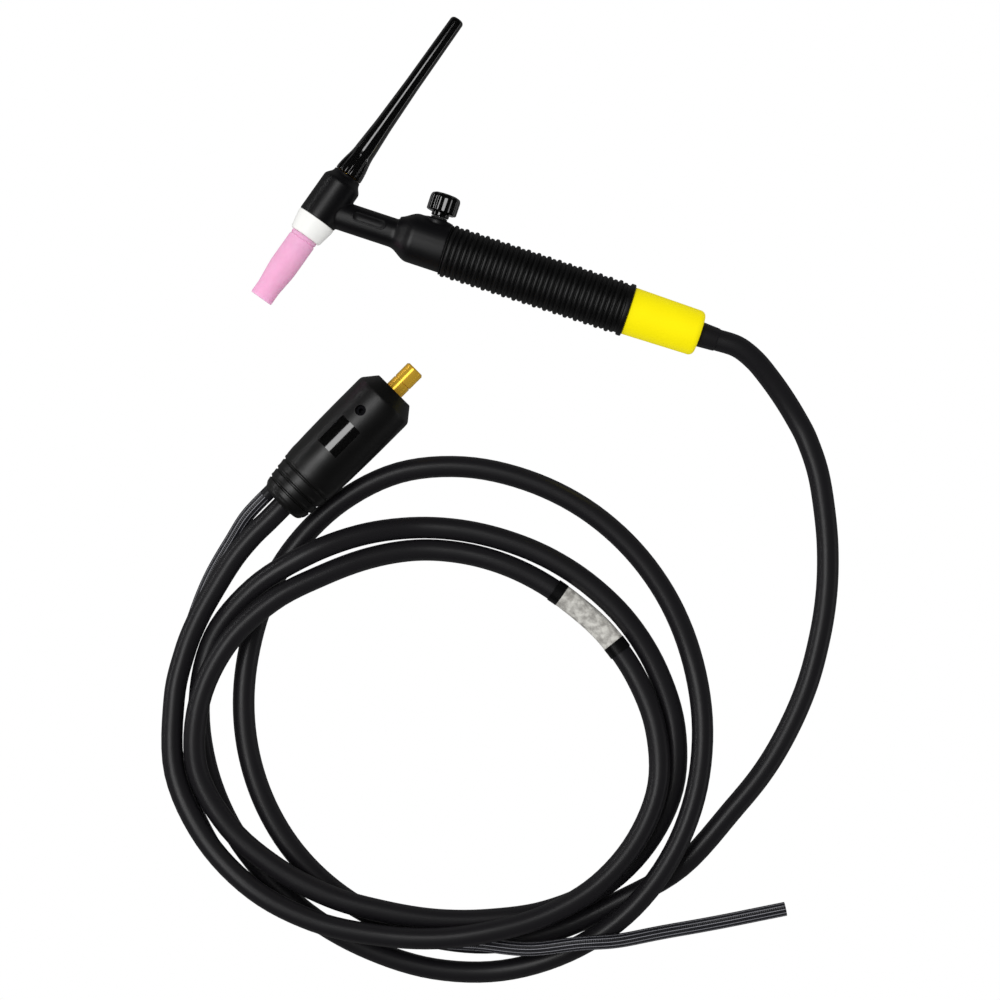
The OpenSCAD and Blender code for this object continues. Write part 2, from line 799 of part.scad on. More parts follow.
module valve_body() {
    color(BRASS) difference() {
        valve_block(0);
        on_handle() rod(gas_way_r, valve_x - FAR, valve_x + FAR);
        on_valve() {
            rod(stem_r + wide, stem_tip_y + stem_taper, FAR);
            cone(stem_point_r + stem_seat_gap, stem_r + wide, stem_tip_y - stem_seat_gap,
                stem_tip_y + stem_taper + EPS);
        }
    }
}

module gland_nut() {
    color(BLACK) on_valve() difference() {
        union() {
            rod(gland_spigot_r, valve_body_top + 2 * EPS, boss_top + EPS);
            hexagon(gland_r, boss_top + EPS, boss_top + gland_h);
        }
        rod(stem_r + fit, 0, FAR);
        rod(ring_pocket_r, 0, valve_body_top + ring_pocket_len);
    }
}

module valve_stem() {
    color(STEEL) on_valve() {
        cone(stem_point_r, stem_r, stem_tip_y, stem_tip_y + stem_taper);
        rod(stem_r, stem_tip_y + stem_taper - EPS, stem_end);
    }
}

module stem_o_ring() {
    color(BLACK) on_valve() translate([0, 0, stem_ring_y]) o_ring(stem_ring_major, stem_ring_minor);
}

module valve_knob() {
    r = knob_r;
    color(BLACK) on_valve() difference() {
        rotate_extrude() polygon(concat(
            [[0, skirt_y], [skirt_r, skirt_y], [skirt_r, knob_y], [r - knob_edge, knob_y],
             [r, knob_y + knob_edge]],
            arc(r - knob_round, knob_top - knob_round, knob_round, 0, 90, 6),
            [[knob_dish_r + knob_dish_slope, knob_top], [knob_dish_r, knob_top - knob_dish],
             [0, knob_top - knob_dish]]));
        rod(stem_r + press, skirt_y - OVER, stem_end + press);
        around(knob_flutes) translate([r + knob_flute_out, 0, 0])
            rod(knob_flute_r, knob_y - OVER, knob_top - knob_flute_end);
    }
}

// ---------- handle ----------
// Ribs: a narrow ridge with a groove on each side, then a wide flat band
module handle_outline() {
    top = handle_d / 2;
    low = top - rib_depth;
    band = top - band_drop;
    rotate_extrude() polygon(concat(
        [[0, handle_start], [band - handle_edge, handle_start], [band, handle_start + handle_edge],
         [band, handle_start + first_rib - rib_top / 2 - rib_slope - groove_w],
         [low, handle_start + first_rib - rib_top / 2 - rib_slope - groove_w + groove_slope]],
        [for (k = [0 : rib_count - 1]) let (z = handle_start + first_rib + k * rib_pitch) each [
            [low, z - rib_top / 2 - rib_slope], [top, z - rib_top / 2 + rib_slope / 2],
            [top, z + rib_top / 2 - rib_slope / 2], [low, z + rib_top / 2 + rib_slope],
            [low, z + rib_top / 2 + rib_slope + groove_w],
            [band, z + rib_top / 2 + 2 * rib_slope + groove_w],
            [band, z + rib_pitch - rib_top / 2 - 2 * rib_slope - groove_w],
            [low, z + rib_pitch - rib_top / 2 - rib_slope - groove_w]]],
        [[low, flange_x - rib_slope], [top, flange_x], [top, handle_end - handle_edge],
         [top - handle_edge, handle_end], [0, handle_end]]));
}

module handle() {
    color(BLACK) on_handle() difference() {
        handle_outline();
        rod(handle_bore_r, handle_start - OVER, handle_end + OVER);
    }
}

module rear_adapter() {
    color(BRASS) on_handle() difference() {
        union() {
            rod(adapter_r, adapter_start, adapter_collar_x + EPS);
            hexagon(adapter_collar_r, adapter_collar_x, adapter_thread_x);
            rod(adapter_thread_r, adapter_thread_x - EPS, adapter_end);
        }
        rod(gas_way_r, adapter_start - OVER, adapter_end + OVER);
    }
}

module cable_nut() {
    color(BRASS) on_handle() difference() {
        hexagon(nut_r, nut_x, nut_end);
        rod(adapter_thread_r + fit, nut_x - OVER, nut_end - nut_lip);
        rod(nipple_r + loose, nut_x, nut_end + OVER);
    }
}

module cable_nipple() {
    color(BRASS) on_handle() difference() {
        union() {
            rod(nipple_head_r, nipple_start, nipple_start + nipple_head_len - end_gap);
            rod(nipple_r, nipple_start, nipple_end);
        }
        rod(gas_way_r, nipple_start - OVER, nipple_end + OVER);
    }
}

module torch_ferrule() {
    color(BRASS) on_handle() difference() {
        rod(cable_r + ferrule_wall, ferrule_start, ferrule_start + ferrule_len);
        rod(cable_r + press, ferrule_start - OVER, ferrule_start + ferrule_len + OVER);
    }
}

module cable_inner() {
    color(BLACK) on_handle() difference() {
        rod(cable_r, inner_start, relief_end);
        rod(cable_bore_r, inner_start - OVER, relief_end + OVER);
    }
}

module cable_conductor() {
    color(COPPER) on_handle() rod(copper_r, nipple_end + end_gap, relief_end);
}

module rear_sleeve() {
    front_r = sleeve_front_d / 2;
    rear_r = sleeve_rear_d / 2;
    spigot = 11;
    color(YELLOW) on_handle() difference() {
        union() {
            rod(handle_bore_r - loose, handle_end - spigot, handle_end + EPS);
            rotate_extrude() polygon(concat(
                [[0, handle_end], [front_r - sleeve_edge, handle_end],
                 [front_r, handle_end + sleeve_edge]],
                arc(rear_r - sleeve_round, sleeve_end - sleeve_round, sleeve_round, 0, 90, 6),
                [[0, sleeve_end]]));
        }
        rod(relief_front_r + loose, handle_end - spigot - OVER, sleeve_end + OVER);
    }
}

module strain_relief() {
    color(BLACK) on_handle() difference() {
        union() {
            rod(relief_front_r, relief_start, sleeve_end + EPS);
            cone(relief_front_r, relief_rear_r, sleeve_end, relief_end);
        }
        rod(cable_r + press, relief_start - OVER, relief_end + OVER);
    }
}

// ---------- power cable ----------
module power_cable_lead() {
    color(RUBBER) tube(CABLE, 0, COIL_FIRST, cable_r, LEAD_SIDES);
}

module power_cable_coil() {
    color(RUBBER) tube(CABLE, COIL_FIRST, COIL_LAST, cable_r, LOOP_SIDES);
}

module power_cable_tail() {
    color(RUBBER) tube(CABLE, COIL_LAST, len(CABLE) - 1, cable_r, LEAD_SIDES);
}

// A place on the straight sides of the coil, at a ring plus a fraction
function on_coil(f) =
    let (i = COIL_FIRST + floor(f), share = f - floor(f))
    CABLE[i] + (CABLE[i + 1] - CABLE[i]) * share;

module cable_label() {
    start = LABEL_AT - LABEL_REACH;
    end = LABEL_AT + LABEL_REACH;
    bends = [for (i = [ceil(start):floor(end)]) on_coil(i)];
    color("white") wrap(concat([on_coil(start)], bends, [on_coil(end)]), cable_r, label_r);
}

module label_bands() {
    color(BLACK) for (s = [-1, 1])
        wrap([for (reach = BAND_REACH) on_coil(LABEL_AT + s * reach)], label_r, band_r);
}

// ---------- plug ----------
module plug_outline() {
    r = plug_r;
    rotate_extrude() polygon(concat(
        [[0, plug_rear]],
        arc(plug_tail_r, plug_rear + plug_tail_round, plug_tail_round, 270, 340, 4),
        [for (p = plug_swell) [r - p[1], p[0]]],
        [[r, plug_front - plug_chamfer],
         [plug_face_d / 2 + plug_face_rise, plug_front - plug_face_edge],
         [plug_face_d / 2, plug_front], [0, plug_front]]));
}

module plug_cover() {
    color(RUBBER) on_plug() difference() {
        plug_outline();
        rod(plug_body_r + press, manifold_start, plug_front + OVER);
        rod(manifold_r + press, manifold_start, manifold_start + manifold_len + press);
        translate([0, cable_side, 0]) {
            rod(cable_r + press, plug_rear - OVER, manifold_start + OVER);
            rod(cable_r + plug_ferrule_wall + press, ferrule_end - plug_ferrule_len,
                manifold_start + OVER);
        }
        translate([0, hose_side, 0]) {
            rod(hose_r + press, plug_rear - OVER, manifold_start + OVER);
            rod(hose_r + clip_wall + press, clip_end - clip_len, manifold_start + OVER);
        }
        for (g = plug_grooves) plug_groove(g[0], g[1]);
        set_screw_axis() rod(screw_r + press, 0, FAR);
        plate_form(plate_sink + plate_wall, OVER, press);
    }
}

// A shallow groove around the cover
module plug_groove(s, drop) {
    rotate_extrude() polygon([
        [plug_r - drop - groove_depth, s], [plug_r + groove_rise, s - groove_half],
        [plug_r + groove_rise, s + groove_half]
    ]);
}

module set_screw_axis() {
    translate([0, 0, screw_s]) rotate([0, 0, -screw_tilt]) rotate([0, -90, 0]) children();
}

module set_screw() {
    color(STEEL) on_plug() set_screw_axis() difference() {
        rod(screw_r, screw_foot, plug_r - screw_sink);
        hexagon(screw_key_r, plug_r - screw_sink - screw_key_len, plug_r);
    }
}

// A curved plate on top of the cover: the part of a shell over a rectangle
module plate_form(depth, above, grow) {
    intersection() {
        difference() {
            rod(plug_r + above, plate_start - FAR, plate_start + FAR);
            rod(plug_r - depth, plate_start - FAR - OVER, plate_start + FAR + OVER);
        }
        translate([-plug_r - above, plate_side - plate_w / 2 - grow, plate_start - grow])
            cube([plug_r, plate_w + 2 * grow, plate_len + 2 * grow]);
    }
}

module plug_plate() {
    color(BLACK) on_plug() plate_form(plate_sink + plate_wall - press, -plate_sink, 0);
}

module plug_pin() {
    pin_r = pin_d / 2;
    pin_end = plug_front + pin_len;
    lug_end = plug_front + lug_gap + lug_size[0];
    color(BRASS) on_plug() difference() {
        union() {
            rod(plug_body_r, plug_body_start, plug_front);
            rod(pin_r - pin_groove, plug_front - EPS, pin_end - pin_edge);
            rod(pin_r, plug_front - EPS, lug_end);
            rod(pin_r, lug_end + pin_groove, pin_end - pin_edge);
            cone(pin_r, pin_r - pin_edge, pin_end - pin_edge - EPS, pin_end);
            translate([0, -lug_size[1] / 2, plug_front + lug_gap])
                cube([pin_r + lug_size[2], lug_size[1], lug_size[0]]);
        }
        translate([0, cable_side, 0])
            rod(copper_r + press, plug_body_start - OVER, plug_body_start + conductor_len + end_gap);
        set_screw_axis() rod(screw_r + fit, screw_foot - end_gap, FAR);
    }
}

module plug_manifold() {
    color(BRASS) on_plug() difference() {
        union() {
            rod(manifold_r, manifold_start + press, manifold_start + manifold_len - press);
            rod(plug_body_r, manifold_start + manifold_len - press - EPS, plug_body_start - press);
        }
        translate([0, cable_side, 0]) rod(copper_r + press, manifold_start - OVER, FAR);
        translate([0, hose_side, 0])
            rod(gas_drill_r, manifold_start - OVER, manifold_start + gas_drill_len);
    }
}

module plug_ferrule() {
    color(BRASS) on_plug() translate([0, cable_side, 0]) difference() {
        rod(cable_r + plug_ferrule_wall, ferrule_end - plug_ferrule_len + press, ferrule_end);
        rod(cable_r + press, plug_rear, ferrule_end + OVER);
    }
}

module plug_cable_end() {
    color(BLACK) on_plug() translate([0, cable_side, 0]) difference() {
        rod(cable_r, plug_rear, manifold_start);
        rod(copper_r + press, plug_rear - OVER, manifold_start + OVER);
    }
}

module plug_conductor() {
    color(COPPER) on_plug() translate([0, cable_side, 0])
        rod(copper_r, plug_rear, plug_body_start + conductor_len);
}

module gas_barb() {
    color(BRASS) on_plug() translate([0, hose_side, 0]) difference() {
        rod(hose_bore_r - press, manifold_start - barb_len, manifold_start);
        rod(barb_bore_r, manifold_start - barb_len - OVER, manifold_start + OVER);
    }
}

module hose_clip() {
    color(STEEL) on_plug() translate([0, hose_side, 0]) difference() {
        rod(hose_r + clip_wall, clip_end - clip_len + press, clip_end);
        rod(hose_r + press, plug_rear, clip_end + OVER);
    }
}

// ---------- gas hose ----------
module gas_hose_inner() {
    color(BLACK) on_plug() translate([0, hose_side, 0]) difference() {
        rod(hose_r, hose_out, manifold_start);
        rod(hose_bore_r, hose_out - OVER, manifold_start + OVER);
    }
}

module gas_hose() {
    color(BLACK) tube(HOSE_PATH, 0, len(HOSE_PATH) - 1, hose_r, LEAD_SIDES);
}

module gas_hose_end() {
    color(BLACK) on_hose_end() difference() {
        rod(hose_r, 0, hose_end_len);
        rod(hose_bore_r, -OVER, hose_end_len + OVER);
    }
}

back_cap();
cap_o_ring();
torch_jacket();
head_core();
collet_body();
collet();
electrode();
insulator();
nozzle();
neck_tube();
valve_body();
gland_nut();
valve_stem();
stem_o_ring();
valve_knob();
handle();
rear_adapter();
cable_nut();
cable_nipple();
torch_ferrule();
cable_inner();
cable_conductor();
rear_sleeve();
strain_relief();
power_cable_lead();
power_cable_coil();
power_cable_tail();
cable_label();
label_bands();
plug_cover();
plug_pin();
plug_manifold();
plug_ferrule();
plug_cable_end();
plug_conductor();
gas_barb();
hose_clip();
set_screw();
plug_plate();
gas_hose_inner();
gas_hose();
gas_hose_end();
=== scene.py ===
"""TIG torch with its coiled power cable, plug and gas hose, seen from straight above."""

import math

import bpy
import bmesh
from mathutils import Matrix, Vector


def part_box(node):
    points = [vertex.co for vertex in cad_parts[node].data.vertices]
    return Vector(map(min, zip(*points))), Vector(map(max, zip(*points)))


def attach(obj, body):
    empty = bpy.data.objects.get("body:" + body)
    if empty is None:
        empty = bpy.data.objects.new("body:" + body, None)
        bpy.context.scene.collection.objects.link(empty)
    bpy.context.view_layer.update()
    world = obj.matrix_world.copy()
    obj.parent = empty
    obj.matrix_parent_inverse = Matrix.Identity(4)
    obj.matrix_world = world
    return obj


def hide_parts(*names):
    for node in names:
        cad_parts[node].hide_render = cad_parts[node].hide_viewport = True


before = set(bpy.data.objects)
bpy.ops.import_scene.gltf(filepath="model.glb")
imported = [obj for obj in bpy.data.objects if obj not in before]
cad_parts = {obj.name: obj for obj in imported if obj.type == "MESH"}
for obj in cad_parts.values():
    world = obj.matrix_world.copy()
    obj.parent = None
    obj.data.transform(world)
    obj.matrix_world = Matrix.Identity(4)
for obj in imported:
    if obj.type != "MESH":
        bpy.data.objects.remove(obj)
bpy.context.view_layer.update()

# ---------- sizes, in millimetres and degrees unless said ----------
MM = 0.001
HEAD_ANGLE = 73
VALVE_ANGLE = 90
PLUG_ANGLE = 63.3
HANDLE_START = 83.6
HANDLE_END = 209.55
VALVE_AT = 73.4
PLUG_BACK = 212
PLUG_ASIDE = 142.4
PLUG_HEIGHT = 21.5
CABLE_R = 7.1
HOSE_R = 4.6
HOSE_BORE_R = 2.5
HOSE_END = 22
FIT = 0.05

AXIS = (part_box("handle")[0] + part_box("handle")[1]) / 2
HEAD = Vector((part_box("handle")[0].x - HANDLE_START * MM, AXIS.y, AXIS.z))
EXIT = Vector((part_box("strain_relief")[1].x, AXIS.y, AXIS.z))


def place(origin, angle):
    """Local Z lies level at that angle from +X, local Y to its left, and local X points down."""
    level = Matrix.Rotation(math.radians(90), 4, "Y")
    return Matrix.Translation(origin) @ Matrix.Rotation(math.radians(angle), 4, "Z") @ level


ON_HEAD = place(HEAD, HEAD_ANGLE)
ON_HANDLE = place(HEAD, 0)
ON_VALVE = place(HEAD + Vector((VALVE_AT * MM, 0, 0)), VALVE_ANGLE)
ON_PLUG = place(Vector((EXIT.x - PLUG_BACK * MM, EXIT.y - PLUG_ASIDE * MM, PLUG_HEIGHT * MM)),
                PLUG_ANGLE)

# ---------- routes of the cable and the hose, as in the part's source ----------
# Points are measured from the cable's exit, and heights from the surface. The coil turns
# clockwise about its middle: its reach and its height are given at every COIL_STEP degrees.
COIL_X, COIL_Y = -89.4, -287.8
COIL_STEP = 30
COIL_END = 1245
LOOP_RINGS = 24
LEAD = [
    (0, 0, 17.5), (14, 0, 17.5), (27.5, -4.6, 15.5), (40.5, -12.2, 12), (54, -21.7, 8.8),
    (67, -32.5, 7.1), (78, -43.5, 7.1), (92, -62.5, 7.1), (105.5, -89, 7.1),
    (114.5, -111.5, 7.1), (121.5, -136, 7.1), (126, -163, 7.1), (128, -194.5, 7.1),
    (125.5, -226, 7.1), (119, -257, 7.1),
]
REACH = [
    197, 166, 153, 142, 136, 134, 138, 150, 162, 162, 162, 164,
    169, 173, 172, 163, 160, 163, 162, 140, 125, 120, 126, 140,
    155, 151, 136, 134, 149, 167, 151, 123, 110, 105, 109, 125,
    144, 146, 141, 148, 168, 182, 175,
]
HEIGHT = [
    7.1, 7.1, 7.1, 7.1, 7.1, 7.1, 7.1, 7.1, 7.1, 7.1, 7.1, 7.1,
    20, 21.6, 5, 7.1, 7.1, 7.1, 13, 24.5, 8.5, 7.1, 7.1, 7.1,
    7.1, 11.5, 18.5, 22, 23, 24, 30, 21, 8.5, 7.7, 7.7, 11.5,
    18.5, 26.5, 33, 32.5, 31, 21, 17,
]
TAIL = [
    (-266, -303, 17), (-264.5, -279, 17.5), (-260, -255.5, 18.5), (-254.5, -234, 20),
    (-247.8, -217, 21), (-240.9, -203.7, 21.5), (-234.85, -191.55, 21.5),
]
HOSE = [
    (-247.7, -189.5, 21.5), (-251.7, -197.5, 21.5), (-257, -208.5, 17.5),
    (-259.5, -221, 11.5), (-263.3, -233.5, 6.8), (-266.9, -250.5, 4.6),
    (-268.5, -268, 4.6), (-268.5, -287, 4.6), (-268.5, -307, 4.6), (-266, -331, 4.6),
    (-260, -354.5, 4.6), (-247, -377.5, 4.6), (-229.5, -398.5, 4.6), (-209.5, -419, 6.5),
    (-190.5, -430.5, 11), (-167, -438, 16.5), (-140.5, -443, 19.3), (-114, -443.5, 19.4),
    (-89.5, -440.5, 19.4), (-63, -433, 19.6), (-42, -428, 20.5), (-23, -422, 20.5),
    (-4, -419, 22), (12.5, -413.5, 26), (28, -404.5, 29.8), (43.5, -397, 31.3),
    (60, -392.5, 27.5), (79, -382.5, 18), (101, -373, 8.5), (121, -363, 4.6),
    (142, -351, 4.6),
]


def smooth(values, i, f):
    """Between entries i and i + 1, at the fraction f."""
    last = len(values) - 1
    a, b = values[max(i - 1, 0)], values[i]
    c, d = values[min(i + 1, last)], values[min(i + 2, last)]
    return b + 0.5 * f * (c - a + f * (2 * a - 5 * b + 4 * c - d + f * (3 * (b - c) + d - a)))


def along(values, t):
    """The value at t degrees of the coil."""
    i = min(int(t // COIL_STEP), len(values) - 2)
    return smooth(values, i, t / COIL_STEP - i)


def coil_point(t):
    """The coil's middle line at t degrees."""
    reach = along(REACH, t)
    turn = math.radians(-t)
    height = max(along(HEIGHT, t), CABLE_R)
    return (COIL_X + reach * math.cos(turn), COIL_Y + reach * math.sin(turn), height)


def to_row(point):
    """A route's point in the row frame, in metres."""
    return Vector((EXIT.x + point[0] * MM, EXIT.y + point[1] * MM, point[2] * MM))


def fine_path(points, parts):
    """A smooth line through the points, with that many steps from point to point."""
    points = [Vector(p) for p in points]
    line = []
    for i in range(len(points) - 1):
        line += [smooth(points, i, k / parts) for k in range(parts)]
    return line + [points[-1]]


COIL = [coil_point(k * 360 / LOOP_RINGS) for k in range(int(COIL_END * LOOP_RINGS / 360) + 1)]
CABLE = [to_row(p) for p in LEAD + COIL + TAIL]
CABLE_STEPS = 6
HOSE_STEPS = 12
HOSE_EASING = 100

# The label's middle and the places of its ends and bands, counted in points of the cable
LABEL_AT = len(LEAD) + 68.45
LABEL_REACH = 0.92
BAND_REACH = (0.76, 1)
LABEL_OVER = 0.4
BAND_OVER = 0.65


# ---------- materials ----------
# Each finish has its colour, its roughness and the spread of that, how fine its grain is (to a
# metre), and where it has them the strength and depth (in metres) of the grain's bump, a tint
# between two close colours with how fine that is, and its coat, specular and metallic values.
FINISHES = {
    "rubber": dict(colour=(0.002, 0.0018, 0.003), rough=0.4, spread=(0.37, 0.44), grain=900,
                   bump=(0.08, 0.0002), specular=0.6),
    "plug_rubber": dict(colour=(0.0025, 0.0025, 0.0024), rough=0.42, spread=(0.36, 0.43),
                        grain=1400, bump=(0.12, 0.0002), specular=0.8),
    "gloss": dict(colour=(0.001, 0.001, 0.001), rough=0.11, spread=(0.08, 0.1), grain=700,
                  coat=1.0, specular=1.0),
    "grip": dict(colour=(0.0025, 0.0025, 0.0027), rough=0.4, spread=(0.37, 0.44), grain=1100,
                 bump=(0.1, 0.0002), specular=0.6),
    "yellow": dict(colour=(0.98, 0.88, 0.0), rough=0.5, spread=(0.45, 0.55), grain=700,
                   bump=(0.05, 0.0001), specular=0.08,
                   tint=((0.98, 0.85, 0.0), (0.96, 0.82, 0.0), 40)),
    "ceramic": dict(colour=(0.9, 0.43, 0.65), rough=0.5, spread=(0.46, 0.58), grain=1600,
                    bump=(0.06, 0.0001), tint=((0.92, 0.44, 0.66), (0.88, 0.42, 0.63), 120)),
    "ptfe": dict(colour=(0.88, 0.88, 0.86), rough=0.4, spread=(0.36, 0.46), grain=500,
                 bump=(0.03, 0.0001)),
    "brass": dict(colour=(1.0, 0.6, 0.06), rough=0.22, spread=(0.2, 0.24), grain=600,
                  metallic=0.6),
    "copper": dict(colour=(0.8, 0.4, 0.25), rough=0.3, spread=(0.25, 0.35), grain=300,
                   bump=(0.05, 0.0001), metallic=1.0),
    "steel": dict(colour=(0.45, 0.45, 0.47), rough=0.32, spread=(0.28, 0.38), grain=400,
                  bump=(0.05, 0.0001), metallic=1.0),
    # Dark steel, with its colour darkened further as painted shade so that the set screw down in
    # its hole reads black.
    "dark_steel_and_hole_shade": dict(colour=(0.006, 0.006, 0.007), rough=0.4, spread=(0.35, 0.45), grain=400,
                       bump=(0.05, 0.0001), metallic=1.0),
    "cable": dict(colour=(0.009, 0.0083, 0.0102), rough=0.38, spread=(0.35, 0.42), grain=700,
                  bump=(0.1, 0.0002), specular=0.5),
    "tape": dict(colour=(0.003, 0.003, 0.0033), rough=0.3, spread=(0.24, 0.36), grain=500,
                 bump=(0.15, 0.0003)),
    "paper": dict(colour=(0.5, 0.49, 0.45), rough=0.35, spread=(0.3, 0.45), grain=250,
                  bump=(0.25, 0.0006), tint=((0.6, 0.59, 0.55), (0.3, 0.29, 0.27), 260)),
    "tube_rubber": dict(colour=(0.012, 0.012, 0.014), rough=0.35, spread=(0.3, 0.4), grain=700,
                        bump=(0.1, 0.0002)),
}
SPREAD_TO_GRAIN = 0.04
TINT_FROM, TINT_TO = 0.35, 0.65
COAT_ROUGH = 0.08


def shader_of(m):
    return m.node_tree.nodes["Principled BSDF"]


def new_material(name, colour, rough, metallic=0.0, coat=0.0, specular=0.3):
    """A material of one even colour and roughness."""
    m = bpy.data.materials.new(name)
    m.use_nodes = True
    inputs = shader_of(m).inputs
    inputs["Base Color"].default_value = (*colour, 1)
    inputs["Roughness"].default_value = rough
    inputs["Metallic"].default_value = metallic
    inputs["Coat Weight"].default_value = coat
    inputs["Coat Roughness"].default_value = COAT_ROUGH
    inputs["Specular IOR Level"].default_value = specular
    return m


def add(m, kind, **values):
    """A new node. In the names of its inputs, an underscore stands for a space."""
    node = m.node_tree.nodes.new(kind)
    for key, value in values.items():
        node.inputs[key.replace("_", " ")].default_value = value
    return node


def link(m, out, into):
    m.node_tree.links.new(out, into)


def noise_over(m, scale, detail, **values):
    """A noise that lies still on the object."""
    noise = add(m, "ShaderNodeTexNoise", Scale=scale, Detail=detail, **values)
    link(m, add(m, "ShaderNodeTexCoord").outputs["Object"], noise.inputs["Vector"])
    return noise.outputs["Fac"]


def math_node(tree, operation, *terms):
    """The result of a math node, whose terms are numbers or other nodes' results."""
    node = tree.nodes.new("ShaderNodeMath")
    node.operation = operation
    for into, term in zip(node.inputs, terms):
        if isinstance(term, (int, float)):
            into.default_value = term
        else:
            tree.links.new(term, into)
    return node.outputs["Value"]


def add_bump(m, scale, strength, depth):
    """Fine moulded grain."""
    bump = add(m, "ShaderNodeBump", Strength=strength, Distance=depth)
    link(m, noise_over(m, scale, detail=4.0, Roughness=0.6), bump.inputs["Height"])
    link(m, bump.outputs["Normal"], shader_of(m).inputs["Normal"])


def add_spread(m, scale, low, high):
    """A slow change of the roughness."""
    spread = add(m, "ShaderNodeMapRange", From_Min=0.3, From_Max=0.7, To_Min=low, To_Max=high)
    link(m, noise_over(m, scale, detail=3.0), spread.inputs["Value"])
    link(m, spread.outputs["Result"], shader_of(m).inputs["Roughness"])


def add_ramp(m, value, low, high, at_low, at_high=1.0):
    """The base colour, from low to high as the value goes from one place to the other."""
    ramp = m.node_tree.nodes.new("ShaderNodeValToRGB")
    first, last = ramp.color_ramp.elements
    first.position, last.position = at_low, at_high
    first.color, last.color = (*low, 1), (*high, 1)
    link(m, value, ramp.inputs["Fac"])
    link(m, ramp.outputs["Color"], shader_of(m).inputs["Base Color"])


def make_finish(name, colour, rough, spread, grain, bump=None, tint=None, **shine):
    """One of FINISHES."""
    m = new_material(name, colour, rough, **shine)
    if bump:
        add_bump(m, grain, *bump)
    add_spread(m, grain * SPREAD_TO_GRAIN, *spread)
    if tint:
        light, dark, scale = tint
        add_ramp(m, noise_over(m, scale, detail=2.0), dark, light, TINT_FROM, TINT_TO)
    return m


def make_materials():
    made = {name: make_finish(name, **look) for name, look in FINISHES.items()}
    inputs = shader_of(made["ceramic"]).inputs
    inputs["Subsurface Weight"].default_value = 0.6
    inputs["Subsurface Radius"].default_value = (1, 0.7, 0.85)
    inputs["Subsurface Scale"].default_value = 0.006
    made["hose"] = hose_material()
    return made


def wave_of(m, value, per_unit):
    """A sine of a value, with that many waves to its unit."""
    turn = math_node(m.node_tree, "MULTIPLY", value, 2 * math.pi * per_unit)
    return math_node(m.node_tree, "SINE", turn)


HOSE_FLUTES_AND_SHEEN_LINES = 12
HOSE_RIB_PITCH = 1.4


def hose_material():
    """Fine ribs across the hose, and finer flutes along it, each with its crest painted light grey
    as a painted highlight.
    """
    m = new_material("hose", (0.02, 0.02, 0.024), 0.3, specular=0.6)
    parts = add(m, "ShaderNodeSeparateXYZ")
    link(m, add(m, "ShaderNodeTexCoord").outputs["UV"], parts.inputs["Vector"])
    ribs = wave_of(m, parts.outputs["X"], 1 / HOSE_RIB_PITCH)
    flutes_with_painted_sheen = wave_of(m, parts.outputs["Y"], HOSE_FLUTES_AND_SHEEN_LINES)
    # Painted highlight: the crests of the lengthwise flutes are painted light grey, standing in for
    # the shine along the hose.
    add_ramp(m, flutes_with_painted_sheen, (0.012, 0.012, 0.015), (0.3, 0.3, 0.33), at_low=0.8)
    across = add(m, "ShaderNodeBump", Strength=0.8, Distance=0.0001)
    link(m, ribs, across.inputs["Height"])
    lengthwise = add(m, "ShaderNodeBump", Strength=0.5, Distance=0.0002)
    link(m, flutes_with_painted_sheen, lengthwise.inputs["Height"])
    link(m, across.outputs["Normal"], lengthwise.inputs["Normal"])
    link(m, lengthwise.outputs["Normal"], shader_of(m).inputs["Normal"])
    return m


# ---------- meshes ----------
def finish_mesh(name, verts, faces, matrix, body, material, uvs=None, sharp=35):
    """A new piece on its body, smooth but for its edges sharper than that angle."""
    mesh = bpy.data.meshes.new(name)
    mesh.from_pydata([matrix @ Vector(v) for v in verts], [], faces)
    mesh.validate()
    if uvs is not None:
        layer = mesh.uv_layers.new(name="along")
        for loop in mesh.loops:
            layer.data[loop.index].uv = uvs[loop.vertex_index]
    thing = bpy.data.objects.new(name, mesh)
    bpy.context.scene.collection.objects.link(thing)
    outward(mesh)
    mesh.shade_smooth()
    mesh.set_sharp_from_angle(angle=math.radians(sharp))
    mesh.materials.append(material)
    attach(thing, body)
    return thing


def outward(mesh):
    """Joins doubled points and turns every face outward."""
    work = bmesh.new()
    work.from_mesh(mesh)
    bmesh.ops.remove_doubles(work, verts=work.verts, dist=1e-7)
    bmesh.ops.recalc_face_normals(work, faces=work.faces)
    work.to_mesh(mesh)
    work.free()


def ring_faces(row, n):
    """The faces between a row of n points around and the next row."""
    return [(row * n + k, row * n + (k + 1) % n, (row + 1) * n + (k + 1) % n, (row + 1) * n + k)
            for k in range(n)]


def lathe(name, profile, matrix, body, material, segments=96, shape=None, sharp=35):
    """Turns an outline of (radius, height) in millimetres about local Z. shape may change the
    radius as it goes around."""
    verts, faces = [], []
    for r, z in profile:
        for k in range(segments):
            turn = 2 * math.pi * k / segments
            radius = shape(r, z, turn) if shape else r
            verts.append((radius * MM * math.cos(turn), radius * MM * math.sin(turn), z * MM))
    for row in range(len(profile) - 1):
        if profile[row] != profile[row + 1]:
            faces += ring_faces(row, segments)
    return finish_mesh(name, verts, faces, matrix, body, material, sharp=sharp)


def arc(cx, cz, r, start, end, n):
    """Points along an arc, n steps from start to end in degrees."""
    angles = [math.radians(start + (end - start) * k / n) for k in range(n + 1)]
    return [(cx + r * math.cos(a), cz + r * math.sin(a)) for a in angles]


def rounded(points, r, n=4):
    """An outline with its corners rounded to about r, but for its two ends. A corner takes less
    than half of each side beside it."""
    most = 0.45
    out = [points[0]]
    for a, b, c in zip(points, points[1:], points[2:]):
        back = Vector(a) - Vector(b)
        ahead = Vector(c) - Vector(b)
        cut = min(r, most * back.length, most * ahead.length)
        p, q = Vector(b) + back.normalized() * cut, Vector(b) + ahead.normalized() * cut
        for k in range(n + 1):
            f = k / n
            out.append(tuple((1 - f) ** 2 * p + 2 * f * (1 - f) * Vector(b) + f * f * q))
    return out + [points[-1]]


